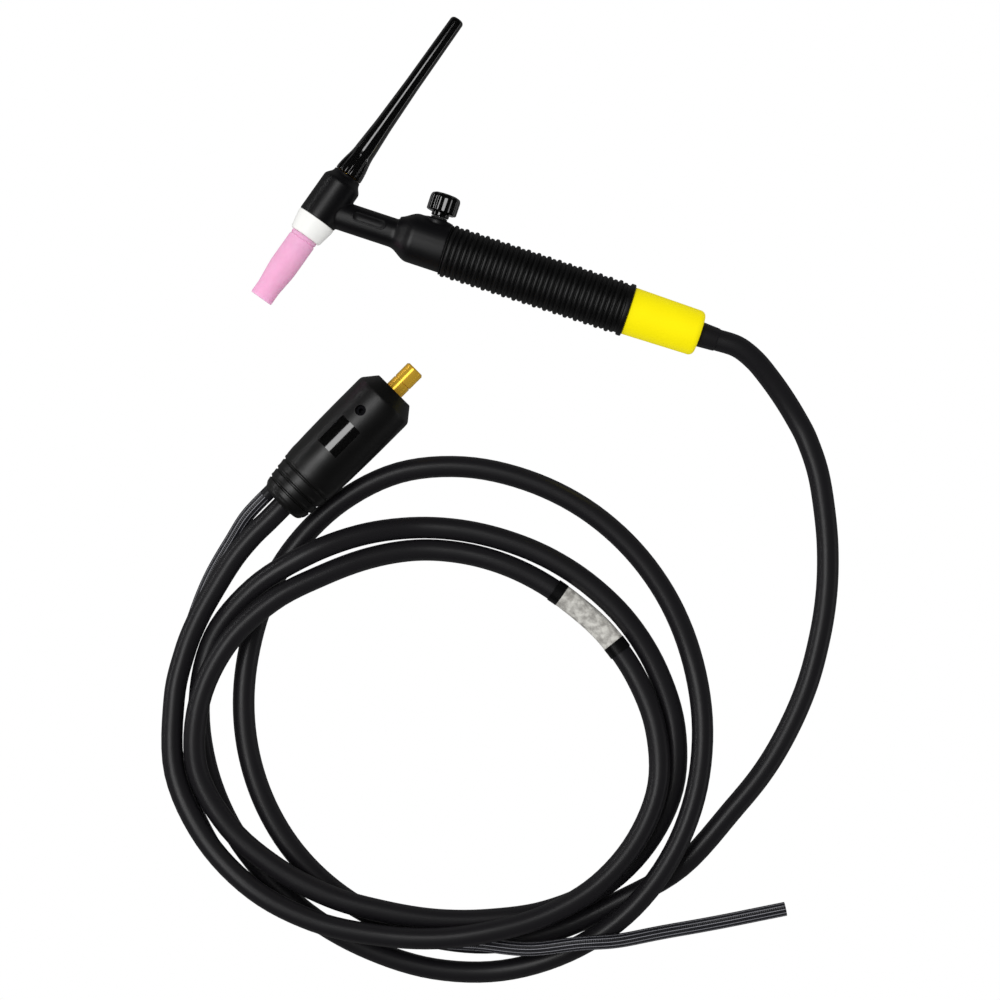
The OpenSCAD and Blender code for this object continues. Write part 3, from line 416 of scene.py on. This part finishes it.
def tube(name, path, radius, material, sides=24, oval=None, bore=None):
    """A tube along a path in the row frame, with UVs in millimetres along it and from 0 to 1
    around it. Its ends are closed, or the last has a bore of that radius and depth. oval gives
    its shares of width and height at a length along it."""
    verts, faces, uvs = [], [], []
    gone = 0.0
    for i, p in enumerate(path):
        ahead = (path[min(i + 1, len(path) - 1)] - path[max(i - 1, 0)]).normalized()
        side = ahead.cross(Vector((0, 0, 1))).normalized()
        up = side.cross(ahead)
        gone += (p - path[i - 1]).length / MM if i else 0.0
        wide, tall = oval(gone) if oval else (1.0, 1.0)
        for k in range(sides):
            a = 2 * math.pi * k / sides
            verts.append(p + radius * MM * (wide * math.cos(a) * side + tall * math.sin(a) * up))
            uvs.append((gone, k / sides))
    for row in range(len(path) - 1):
        faces += ring_faces(row, sides)
    faces.append(tuple(range(sides)))
    if bore:
        for depth in (0, bore[1]):
            for k in range(sides):
                a = 2 * math.pi * k / sides
                spoke = math.cos(a) * side + math.sin(a) * up
                verts.append(path[-1] - ahead * depth * MM + bore[0] * MM * spoke)
                uvs.append((gone, k / sides))
        for row in (len(path) - 1, len(path)):
            faces += ring_faces(row, sides)
    faces.append(tuple(reversed(range(len(verts) - sides, len(verts)))))
    return finish_mesh(name, verts, faces, Matrix.Identity(4), "torch", material, uvs)


def prism(name, outline, low, high, matrix):
    """A plain solid over an outline of (x, y), from local height low to high."""
    n = len(outline)
    verts = [(x * MM, y * MM, z * MM) for z in (low, high) for x, y in outline]
    faces = [tuple(range(n)), tuple(reversed(range(n, 2 * n)))]
    faces += [(k, (k + 1) % n, n + (k + 1) % n, n + k) for k in range(n)]
    mesh = bpy.data.meshes.new(name)
    mesh.from_pydata([matrix @ Vector(v) for v in verts], [], faces)
    outward(mesh)
    thing = bpy.data.objects.new(name, mesh)
    bpy.context.scene.collection.objects.link(thing)
    return thing


def disc(x, y, r, n=48):
    """Points around a circle."""
    return [(x + r * math.cos(2 * math.pi * k / n), y + r * math.sin(2 * math.pi * k / n))
            for k in range(n)]


def carve(thing, cutters, sharp):
    """Takes the cutters out of the thing for good."""
    for cutter in cutters:
        cut = thing.modifiers.new("cut", "BOOLEAN")
        cut.object = cutter
        cut.operation = "DIFFERENCE"
        cut.solver = "EXACT"
    bpy.context.view_layer.update()
    seen = thing.evaluated_get(bpy.context.evaluated_depsgraph_get())
    mesh = bpy.data.meshes.new_from_object(seen)
    thing.modifiers.clear()
    thing.data = mesh
    mesh.shade_smooth()
    mesh.set_sharp_from_angle(angle=math.radians(sharp))
    for cutter in cutters:
        bpy.data.objects.remove(cutter)


def soften(node, name, material, voxel, smoothing):
    """A rounded copy of a CAD node: its own shape with every edge a little soft."""
    thing = bpy.data.objects.new(name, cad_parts[node].data.copy())
    bpy.context.scene.collection.objects.link(thing)
    outward(thing.data)
    thing.data.materials.clear()
    thing.data.materials.append(material)
    remesh = thing.modifiers.new("remesh", "REMESH")
    remesh.mode = "VOXEL"
    remesh.voxel_size = voxel * MM
    remesh.use_smooth_shade = True
    relax = thing.modifiers.new("relax", "SMOOTH")
    relax.factor = 0.5
    relax.iterations = smoothing
    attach(thing, "torch")
    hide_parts(node)
    return thing


def stretch(points, first, last, parts):
    """The smooth line through the points, from the place first to the place last."""
    line = []
    for k in range(parts + 1):
        at = first + (last - first) * k / parts
        i = int(at)
        line.append(smooth(points, i, at - i))
    return line


def slightly_oval(gone):
    """The cable's shares of width and height: it is nowhere quite round, and no two places are
    alike."""
    swing = 0.018 * math.sin(gone / 310) + 0.01 * math.sin(gone / 97 + 1)
    return 1 + swing, 1 - swing


def make_cable(mat):
    path = fine_path(CABLE, CABLE_STEPS)
    cable = tube("power_cable", path, CABLE_R, mat["cable"], oval=slightly_oval)
    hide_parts("power_cable_lead", "power_cable_coil", "power_cable_tail")
    return cable, path


def make_label(mat):
    """The paper label around one loop, and the black tape over each of its ends."""
    path = stretch(CABLE, LABEL_AT - LABEL_REACH, LABEL_AT + LABEL_REACH, parts=16)
    label = tube("label", path, CABLE_R + LABEL_OVER, mat["paper"], sides=32)
    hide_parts("cable_label")
    made = [label]
    for side, name in ((-1, "tape_band_near"), (1, "tape_band_far")):
        first, last = sorted(LABEL_AT + side * reach for reach in BAND_REACH)
        path = stretch(CABLE, first, last, parts=4)
        band = tube(name, path, CABLE_R + BAND_OVER, mat["tape"], sides=32)
        made.append(band)
    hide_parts("label_bands")
    return made


def relaxed(path, times):
    """The path with its small bends eased, its ends in place."""
    for _ in range(times):
        path = ([path[0]] + [(a + 2 * b + c) / 4 for a, b, c in zip(path, path[1:], path[2:])] +
                [path[-1]])
    return path


def make_hose(mat):
    """The hose along its route, and its straight end with its bore."""
    path = relaxed(fine_path([to_row(p) for p in HOSE], HOSE_STEPS), HOSE_EASING)
    end = (path[-1] - path[-2]).normalized() * HOSE_END * MM
    steps = 10
    path += [path[-1] + end * k / steps for k in range(1, steps + 1)]
    hose = tube("thin_gas_hose", path, HOSE_R, mat["hose"], bore=(HOSE_BORE_R, HOSE_END))
    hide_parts("gas_hose", "gas_hose_end")
    return hose, path


# ---------- camera, light and floor, in metres and degrees ----------
SENSOR_MM = 36
VIEW_HEIGHT = 1.6
VIEW_WIDTH = 0.66
VIEW_TURN = 18.3
VIEW_CENTRE = HEAD + Vector((0.1688, -0.14367, 0))
LIGHT_LEAN = (0.55, 0.83)
FLOOR_HALF = 3.0
FLOOR_DROP = 0.0005


def make_camera():
    """Straight above, so that VIEW_WIDTH of the surface fills the picture."""
    data = bpy.data.cameras.new("camera")
    data.sensor_width = SENSOR_MM
    data.lens = SENSOR_MM * VIEW_HEIGHT / VIEW_WIDTH
    camera = bpy.data.objects.new("camera", data)
    camera.location = (VIEW_CENTRE.x, VIEW_CENTRE.y, VIEW_HEIGHT)
    camera.rotation_euler = (0, 0, math.radians(VIEW_TURN))
    bpy.context.scene.collection.objects.link(camera)
    bpy.context.scene.camera = camera


def in_view(right, up, height):
    """A point given by how far right and up it is in the camera's view, in metres."""
    turn = Matrix.Rotation(math.radians(VIEW_TURN), 4, "Z")
    return Vector((VIEW_CENTRE.x, VIEW_CENTRE.y, 0)) + turn @ Vector((right, up, height))


def soft_box(name, place, width, height, glow):
    """A soft light that the camera doesn't see, turned to the middle of the view. glow is its
    brightness, whatever its size, and its height follows LIGHT_LEAN, as right and up."""
    data = bpy.data.lights.new(name, "AREA")
    data.shape = "RECTANGLE"
    data.size, data.size_y = width, height
    data.energy = glow * width * height * math.pi
    light = bpy.data.objects.new(name, data)
    centre = in_view(0, 0, 0)
    back = (place - centre).normalized()
    tall = in_view(*LIGHT_LEAN, 0) - centre
    tall = (tall - tall.dot(back) * back).normalized()
    turned = Matrix((tall.cross(back), tall, back)).transposed()
    light.matrix_world = Matrix.Translation(place) @ turned.to_4x4()
    light.visible_camera = False
    bpy.context.scene.collection.objects.link(light)


def make_lights():
    soft_box("main", in_view(-0.62, 0.08, 1.45), width=0.55, height=1.6, glow=3.1)
    soft_box("low_left", in_view(-1.6, 0.6, 0.35), width=0.12, height=1.6, glow=4.5)
    soft_box("low_right", in_view(1.5, -0.5, 0.25), width=0.12, height=1.4, glow=1.5)


def white_to_camera(tree, around, mirrored):
    """The strength of a white that the camera sees in full. Soft light sees that share of it
    around, and mirrors the smaller one."""
    path = tree.nodes.new("ShaderNodeLightPath")
    soft = math_node(tree, "MULTIPLY", path.outputs["Is Diffuse Ray"], around)
    least = math_node(tree, "MAXIMUM", soft, mirrored)
    return math_node(tree, "MAXIMUM", least, path.outputs["Is Camera Ray"])


def make_world():
    world = bpy.data.worlds.new("studio")
    world.use_nodes = True
    tree = world.node_tree
    sky = tree.nodes["Background"]
    sky.inputs["Color"].default_value = (1, 1, 1, 1)
    tree.links.new(white_to_camera(tree, around=0.8, mirrored=0.015), sky.inputs["Strength"])
    bpy.context.scene.world = world


def make_floor():
    m = bpy.data.materials.new("floor")
    m.use_nodes = True
    tree = m.node_tree
    tree.nodes.remove(shader_of(m))
    glow = add(m, "ShaderNodeEmission", Color=(1, 1, 1, 1))
    link(m, white_to_camera(tree, around=0.85, mirrored=0.12), glow.inputs["Strength"])
    link(m, glow.outputs["Emission"], tree.nodes["Material Output"].inputs["Surface"])
    mesh = bpy.data.meshes.new("floor")
    corners = [(x * FLOOR_HALF, y * FLOOR_HALF, 0) for x, y in ((-1, -1), (1, -1), (1, 1), (-1, 1))]
    mesh.from_pydata(corners, [], [(0, 1, 2, 3)])
    mesh.materials.append(m)
    floor = bpy.data.objects.new("floor", mesh)
    floor.location = (0, 0, -FLOOR_DROP)
    bpy.context.scene.collection.objects.link(floor)


# ---------- pieces of the head ----------
# Heights are along its axis, from where the handle's axis crosses it: up to the cap's end, and
# down to the nozzle's mouth.
FACE_Z = -7.4
NOZZLE_REAR = -21.1
NOZZLE_SEAT_R = 6.95
NOZZLE_BORE_R = 6.2
NOZZLE_R = 9.4
NOZZLE_NECK_R = 8.75
MOUTH_Z = -70.7
MOUTH_R = 5.5
TIP_R = 7.85
CAP_Z = 27.6
CAP_END = 152.3
CAP_INNER_END = 10.5
CAP_SEAT_R = 7.1
CAP_FLUTES = 8
CAP_FLUTE_DEPTH = 1.1
CAP_FLUTE_TOP, CAP_FLUTE_FADE = 16, 12


def make_nozzle(mat):
    outline = rounded([
        (MOUTH_R, MOUTH_Z + 1.2), (6.1, MOUTH_Z), (7.6, MOUTH_Z), (TIP_R, MOUTH_Z + 0.5),
        (TIP_R, MOUTH_Z + 8.5), (8.42, MOUTH_Z + 14.5), (9.05, MOUTH_Z + 20.2),
        (9.38, MOUTH_Z + 24.7), (NOZZLE_R, NOZZLE_REAR - 3.4),
        (NOZZLE_NECK_R, NOZZLE_REAR - 2.9), (NOZZLE_NECK_R, NOZZLE_REAR - 2.4),
        (9.25, NOZZLE_REAR - 2.0), (9.25, NOZZLE_REAR - 0.4), (8.9, NOZZLE_REAR),
        (NOZZLE_SEAT_R, NOZZLE_REAR), (NOZZLE_SEAT_R, NOZZLE_REAR - 12.5),
        (NOZZLE_BORE_R, NOZZLE_REAR - 12.5), (NOZZLE_BORE_R, MOUTH_Z + 18.6),
        (MOUTH_R, MOUTH_Z + 18.6), (MOUTH_R, MOUTH_Z + 1.2),
    ], 1.2)
    nozzle = lathe("ceramic_nozzle", outline, ON_HEAD, "cup", mat["ceramic"], sharp=50)
    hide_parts("nozzle")


def make_insulator(mat):
    low, high = NOZZLE_REAR + FIT, FACE_Z - FIT
    outline = rounded([
        (NOZZLE_SEAT_R, low), (10.4, low), (11.1, NOZZLE_REAR + 0.8), (13.1, FACE_Z - 2.7),
        (13.2, FACE_Z - 0.5), (12.9, high), (NOZZLE_SEAT_R, high), (NOZZLE_SEAT_R, low),
    ], 0.8)
    insulator = lathe("tail_insulator", outline, ON_HEAD, "cup_gasket", mat["ptfe"], sharp=50)
    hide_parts("insulator")


def grip_flutes(r, z, turn):
    """Soft flutes on the outside of the cap's grip, which run out towards its top."""
    if r <= CAP_SEAT_R + 0.1:
        return r
    share = max(0.0, min(1.0, (CAP_Z + CAP_FLUTE_TOP - z) / CAP_FLUTE_FADE))
    dip = max(0.0, math.cos(CAP_FLUTES * turn)) ** 1.5
    return r - CAP_FLUTE_DEPTH * share * dip


def make_cap(mat):
    waist_r, grip_r, steps = 7.05, 9.5, 20
    grip_z, grip_length = CAP_Z + 0.6, 19.6
    bulge = [(waist_r + (grip_r - waist_r) * (1 + math.cos(math.pi * k / steps)) / 2,
              grip_z + grip_length * k / steps) for k in range(steps + 1)]
    outline = ([(1.6, CAP_INNER_END), (5.3, CAP_INNER_END), (5.4, CAP_INNER_END + 0.3),
                (5.4, CAP_Z + 1.3), (CAP_SEAT_R, CAP_Z + 1.3), (CAP_SEAT_R, CAP_Z),
                (8.9, CAP_Z), (9.35, CAP_Z + 0.25)] + bulge +
               [(5.9, CAP_Z + 40), (5.05, CAP_Z + 72), (4.62, CAP_END - 3.2)] +
               arc(2.2, CAP_END - 2.4, 2.4, 4, 90, 8) + [(0, CAP_END)])
    cap = lathe("long_back_cap", outline, ON_HEAD, "cap", mat["gloss"], segments=128,
                shape=grip_flutes, sharp=40)
    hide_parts("back_cap")


# ---------- the valve's knob, with heights along the valve from the handle's axis ----------
KNOB_REAR = 19.4
KNOB_BASE, KNOB_TOP = 22.0, 34.4
KNOB_HUB_R, KNOB_R = 5.9, 10.1
STEM_HOLE_R = 1.77
KNOB_FLUTES = 10
KNOB_FLUTE_DEPTH = 0.55


def knob_flutes(r, z, turn):
    """Flutes around the knob's side alone."""
    if r < 7 or z < KNOB_BASE - 1:
        return r
    return r - KNOB_FLUTE_DEPTH * (1 + math.cos(KNOB_FLUTES * turn)) / 2


def make_knob(mat):
    base, top = KNOB_BASE, KNOB_TOP
    outline = rounded([
        (STEM_HOLE_R, KNOB_REAR), (5.5, KNOB_REAR), (KNOB_HUB_R, KNOB_REAR + 0.4),
        (KNOB_HUB_R, base - 0.3), (6.3, base), (9.3, base), (KNOB_R, base + 0.8),
        (KNOB_R, top - 2.6), (9.3, top - 0.7), (7.5, top), (6, top), (5, top - 0.8),
        (0.01, top - 0.8),
    ], 0.9)
    knob = lathe("gas_valve_knob", outline, ON_VALVE, "valve", mat["gloss"], segments=144,
                 shape=knob_flutes, sharp=50)
    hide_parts("valve_knob")


# ---------- pieces on the handle's axis, from where the head's axis crosses it ----------
HANDLE_BORE_R = 12.6
RIB_COUNT = 17
RIB_FIRST = 86.5
RIB_PITCH = 7.05
RIB_R, LOW_RIB_R, ROOT_R = 17.5, 16.8, 16.0
FLANGE_START = 205.9
SLEEVE_END = 258.55
SLEEVE_BORE_R = 8.35
SPIGOT_START = 198.55
RELIEF_START, RELIEF_END = 236.55, 270.55
RELIEF_BORE_R, RELIEF_R = 7.12, 8.25


def rib_outline():
    """The handle from its front face to the rear flange: high and low ribs by turns."""
    start, end = HANDLE_START, HANDLE_END
    points = [(HANDLE_BORE_R, start), (16.3, start), (16.7, start + 0.3),
              (LOW_RIB_R, start + 0.6), (16.5, start + 0.85)]
    for k in range(RIB_COUNT):
        z = RIB_FIRST + RIB_PITCH * k
        points += [(ROOT_R, z - 1.7), (17.1, z - 1.15), (RIB_R, z - 0.6), (RIB_R, z + 0.6),
                   (17.1, z + 1.15), (ROOT_R, z + 1.7), (ROOT_R, z + 2.1), (16.65, z + 2.55),
                   (LOW_RIB_R, z + 3.1), (LOW_RIB_R, z + 3.95), (16.65, z + 4.5),
                   (ROOT_R, z + 4.95)]
    return points + [(ROOT_R, FLANGE_START), (17.1, FLANGE_START + 0.3),
                     (RIB_R, FLANGE_START + 0.8), (RIB_R, end - 0.55), (17.0, end),
                     (HANDLE_BORE_R, end), (HANDLE_BORE_R, start)]


def make_handle(mat):
    handle = lathe("ribbed_handle", rounded(rib_outline(), 0.3, n=2), ON_HANDLE, "torch",
                   mat["grip"], segments=128, sharp=60)
    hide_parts("handle")


def make_sleeve(mat):
    """The yellow sleeve, and its spigot inside the handle."""
    start, end, round_r = HANDLE_END + 0.01, SLEEVE_END, 4
    outline = ([(SLEEVE_BORE_R + FIT, start), (15.4, start), (15.8, start + 0.34)] +
               arc(11.0, end - round_r, round_r, 0, 90, 10) +
               [(SLEEVE_BORE_R, end), (SLEEVE_BORE_R, start)])
    sleeve = lathe("yellow_rear_sleeve", outline, ON_HANDLE, "torch", mat["yellow"],
                   segments=128, sharp=50)
    spigot_r = HANDLE_BORE_R - 0.1
    spigot = lathe("rear_sleeve_spigot", [
        (SLEEVE_BORE_R, SPIGOT_START), (spigot_r, SPIGOT_START), (spigot_r, start),
        (SLEEVE_BORE_R, start), (SLEEVE_BORE_R, SPIGOT_START),
    ], ON_HANDLE, "torch", mat["yellow"], segments=64)
    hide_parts("rear_sleeve")


def make_relief(mat):
    outline = rounded([
        (RELIEF_BORE_R, RELIEF_START), (RELIEF_R, RELIEF_START), (RELIEF_R, SLEEVE_END + 0.15),
        (7.6, RELIEF_END - 0.65), (7.3, RELIEF_END), (RELIEF_BORE_R, RELIEF_END),
        (RELIEF_BORE_R, RELIEF_START),
    ], 0.4)
    relief = lathe("cable_strain_relief", outline, ON_HANDLE, "torch", mat["cable"])
    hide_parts("strain_relief")


def make_jacket(mat):
    jacket = soften("torch_jacket", "soft_torch_jacket", mat["rubber"], voxel=0.4, smoothing=7)


def pad_outline(length, width, r, n=8):
    """Points around a rounded rectangle with its middle at the origin."""
    points = []
    for cx, cy, start in ((1, 1, 0), (-1, 1, 90), (-1, -1, 180), (1, -1, 270)):
        points += arc(cx * (length / 2 - r), cy * (width / 2 - r), r, start, start + 90, n)
    return points


def make_pad(mat):
    """The low rim of the bare pad on top of the neck."""
    along_neck, aside, neck_r, floor = 31, 2, 9.6, 0.2
    length, width, corner_r = 23, 7, 3
    levels = [(0, -0.5), (0, 0.22), (0.25, 0.38), (0.7, 0.38), (1.0, floor)]
    rings = [(pad_outline(length - 2 * inset, width - 2 * inset, corner_r - inset), rise)
             for inset, rise in levels]
    rings += [([(x * f, y * f) for x, y in rings[-1][0]], floor) for f in (0.7, 0.35, 0.01)]
    verts, faces = [], []
    for ring, rise in rings:
        for x, y in ring:
            r, turn = neck_r + rise, (y + aside) / neck_r
            verts.append((-r * math.cos(turn) * MM, r * math.sin(turn) * MM,
                          (x + along_neck) * MM))
    n = len(rings[0][0])
    for row in range(len(rings) - 1):
        faces += ring_faces(row, n)
    faces.append(tuple(range(len(verts) - n, len(verts))))
    pad = finish_mesh("neck_pad", verts, faces, ON_HANDLE, "torch", mat["rubber"], sharp=70)


# ---------- the plug, with heights along its axis towards the pin ----------
PLUG_REAR, PLUG_FRONT = -54.1, 50.2
PLUG_R = 21.5
PLUG_CHAMFER = 38.6
PLUG_GROOVES = (-24.1, -31.3, -39.1, -45.6)
PAST_PLUG_R = 30
GROOVE_DEPTH, GROOVE_WIDTH = 0.95, 0.62
SWELL_RISE, SWELL_WIDTH, SWELL_AHEAD = 0.3, 0.75, 1.5
CABLE_SIDE, HOSE_SIDE = -1.7, 10.7
PIN_BORE_R, PIN_MOUTH_DEPTH = 9.22, 1.2
MANIFOLD_R = 15.02
MANIFOLD_REAR, MANIFOLD_FRONT = -24, -9.98
SCREW_HOLE_R, SCREW_AT, SCREW_TURN = 3.62, 25.8, -14
PLATE_REAR, PLATE_FRONT = -7.22, 15.62
PLATE_SIDES = (-5.27, 11.07)
PLATE_FLOOR_R = 20.35
NOTCH = [(-19.4, 9.0), (-13.5, 15.2), (-20, 20), (-25, 12)]
NOTCH_REAR, NOTCH_FRONT = -37.6, -33.2


def plug_side():
    """The cover's side from its rear to the front chamfer, with its grooves and the slight swell
    ahead of each."""
    marks = [(-50.6, 16.3), (-49.2, 17.0), (-45.6, 17.75), (-39.1, 18.6), (-32, 19.55),
             (-26, 20.5), (-10.4, 21.1), (2, 21.35), (15.6, PLUG_R), (PLUG_CHAMFER, PLUG_R)]
    grooved_end, groove_step, plain_steps = -20, 0.3, 4
    points = []
    for (z0, r0), (z1, r1) in zip(marks, marks[1:]):
        fine_steps = max(1, round((z1 - z0) / groove_step))
        steps = fine_steps if z1 < grooved_end else plain_steps
        for k in range(steps):
            z = z0 + (z1 - z0) * k / steps
            cut = sum(math.exp(-((z - g) / GROOVE_WIDTH) ** 4) for g in PLUG_GROOVES)
            swell = sum(math.exp(-((z - g - SWELL_AHEAD) / SWELL_WIDTH) ** 2)
                        for g in PLUG_GROOVES)
            points.append((r0 + (r1 - r0) * k / steps - GROOVE_DEPTH * cut + SWELL_RISE * swell,
                           z))
    return points + [(PLUG_R, PLUG_CHAMFER)]


def steps_between(a, b, n):
    """n even steps from a to b, with both."""
    return [a + (b - a) * k / n for k in range(n + 1)]


def plug_cutters():
    """The holes of the cable and the hose, the screw's hole, the plate's recess and the notch."""
    screw = ON_PLUG @ Matrix.Translation((0, 0, SCREW_AT * MM)) @ Matrix.Rotation(
        math.radians(SCREW_TURN), 4, "Z") @ Matrix.Rotation(math.radians(-90), 4, "Y")
    outside = 25
    near, far = PLATE_SIDES
    recess = [(-math.sqrt(PLATE_FLOOR_R ** 2 - y ** 2), y) for y in steps_between(near, far, 14)]
    recess += [(-outside, far), (-outside, near)]
    behind, inside = PLUG_REAR - 5.9, MANIFOLD_REAR + 1
    return [
        prism("bore_1", disc(0, CABLE_SIDE, CABLE_R + FIT), behind, inside, ON_PLUG),
        prism("bore_2", disc(0, HOSE_SIDE, HOSE_R + FIT), behind, inside, ON_PLUG),
        prism("hole", disc(0, 0, SCREW_HOLE_R), 0, PAST_PLUG_R, screw),
        prism("recess", recess, PLATE_REAR, PLATE_FRONT, ON_PLUG),
        prism("notch", NOTCH, NOTCH_REAR, NOTCH_FRONT, ON_PLUG),
    ]


def make_plug(mat):
    rear_r, rear_round = 11.5, 4.6
    rear = arc(rear_r, PLUG_REAR + rear_round, rear_round, 270, 345, 8)
    front = rounded([(PLUG_R, PLUG_CHAMFER), (21.3, 41.2), (15, 49.0), (14, PLUG_FRONT),
                     (11.4, PLUG_FRONT)], 3, n=6)
    mouth = PLUG_FRONT - PIN_MOUTH_DEPTH
    outline = ([(0, PLUG_REAR)] + rear + plug_side() + front +
               [(11, mouth), (PIN_BORE_R, mouth), (PIN_BORE_R, MANIFOLD_FRONT),
                (MANIFOLD_R, MANIFOLD_FRONT), (MANIFOLD_R, MANIFOLD_REAR), (0, MANIFOLD_REAR)])
    cover = lathe("soft_plug_cover", outline, ON_PLUG, "torch", mat["plug_rubber"],
                  segments=160, sharp=45)
    carve(cover, plug_cutters(), sharp=35)
    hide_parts("plug_cover")
    return cover


def dress_nodes(mat):
    """The other CAD pieces keep their shapes and get their finish."""
    finish = {
        "tape": ["cap_o_ring", "stem_o_ring", "gland_nut"],
        "brass": ["head_core", "collet_body", "valve_body", "rear_adapter", "cable_nut",
                  "cable_nipple", "torch_ferrule", "plug_pin", "plug_manifold",
                  "plug_ferrule", "gas_barb"],
        "copper": ["collet", "neck_tube", "cable_conductor", "plug_conductor"],
        "steel": ["electrode", "valve_stem", "hose_clip"],
        # The set screw's steel is darkened as painted shade of the hole it sits in.
        "dark_steel_and_hole_shade": ["set_screw"],
        "cable": ["cable_inner", "plug_cable_end"],
        "gloss": ["plug_plate"],
        "tube_rubber": ["gas_hose_inner"],
    }
    for name, nodes in finish.items():
        for node in nodes:
            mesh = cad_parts[node].data
            mesh.materials.clear()
            mesh.materials.append(mat[name])
            mesh.shade_smooth()
            mesh.set_sharp_from_angle(angle=math.radians(30))


def main():
    make_camera()
    mat = make_materials()
    cable, cable_path = make_cable(mat)
    hose, hose_path = make_hose(mat)
    cover = make_plug(mat)
    make_label(mat)
    make_jacket(mat)
    make_pad(mat)
    make_nozzle(mat)
    make_insulator(mat)
    make_cap(mat)
    make_knob(mat)
    make_handle(mat)
    make_sleeve(mat)
    make_relief(mat)
    dress_nodes(mat)
    make_lights()
    make_world()
    make_floor()
    bpy.context.scene.view_settings.view_transform = "Standard"


main()
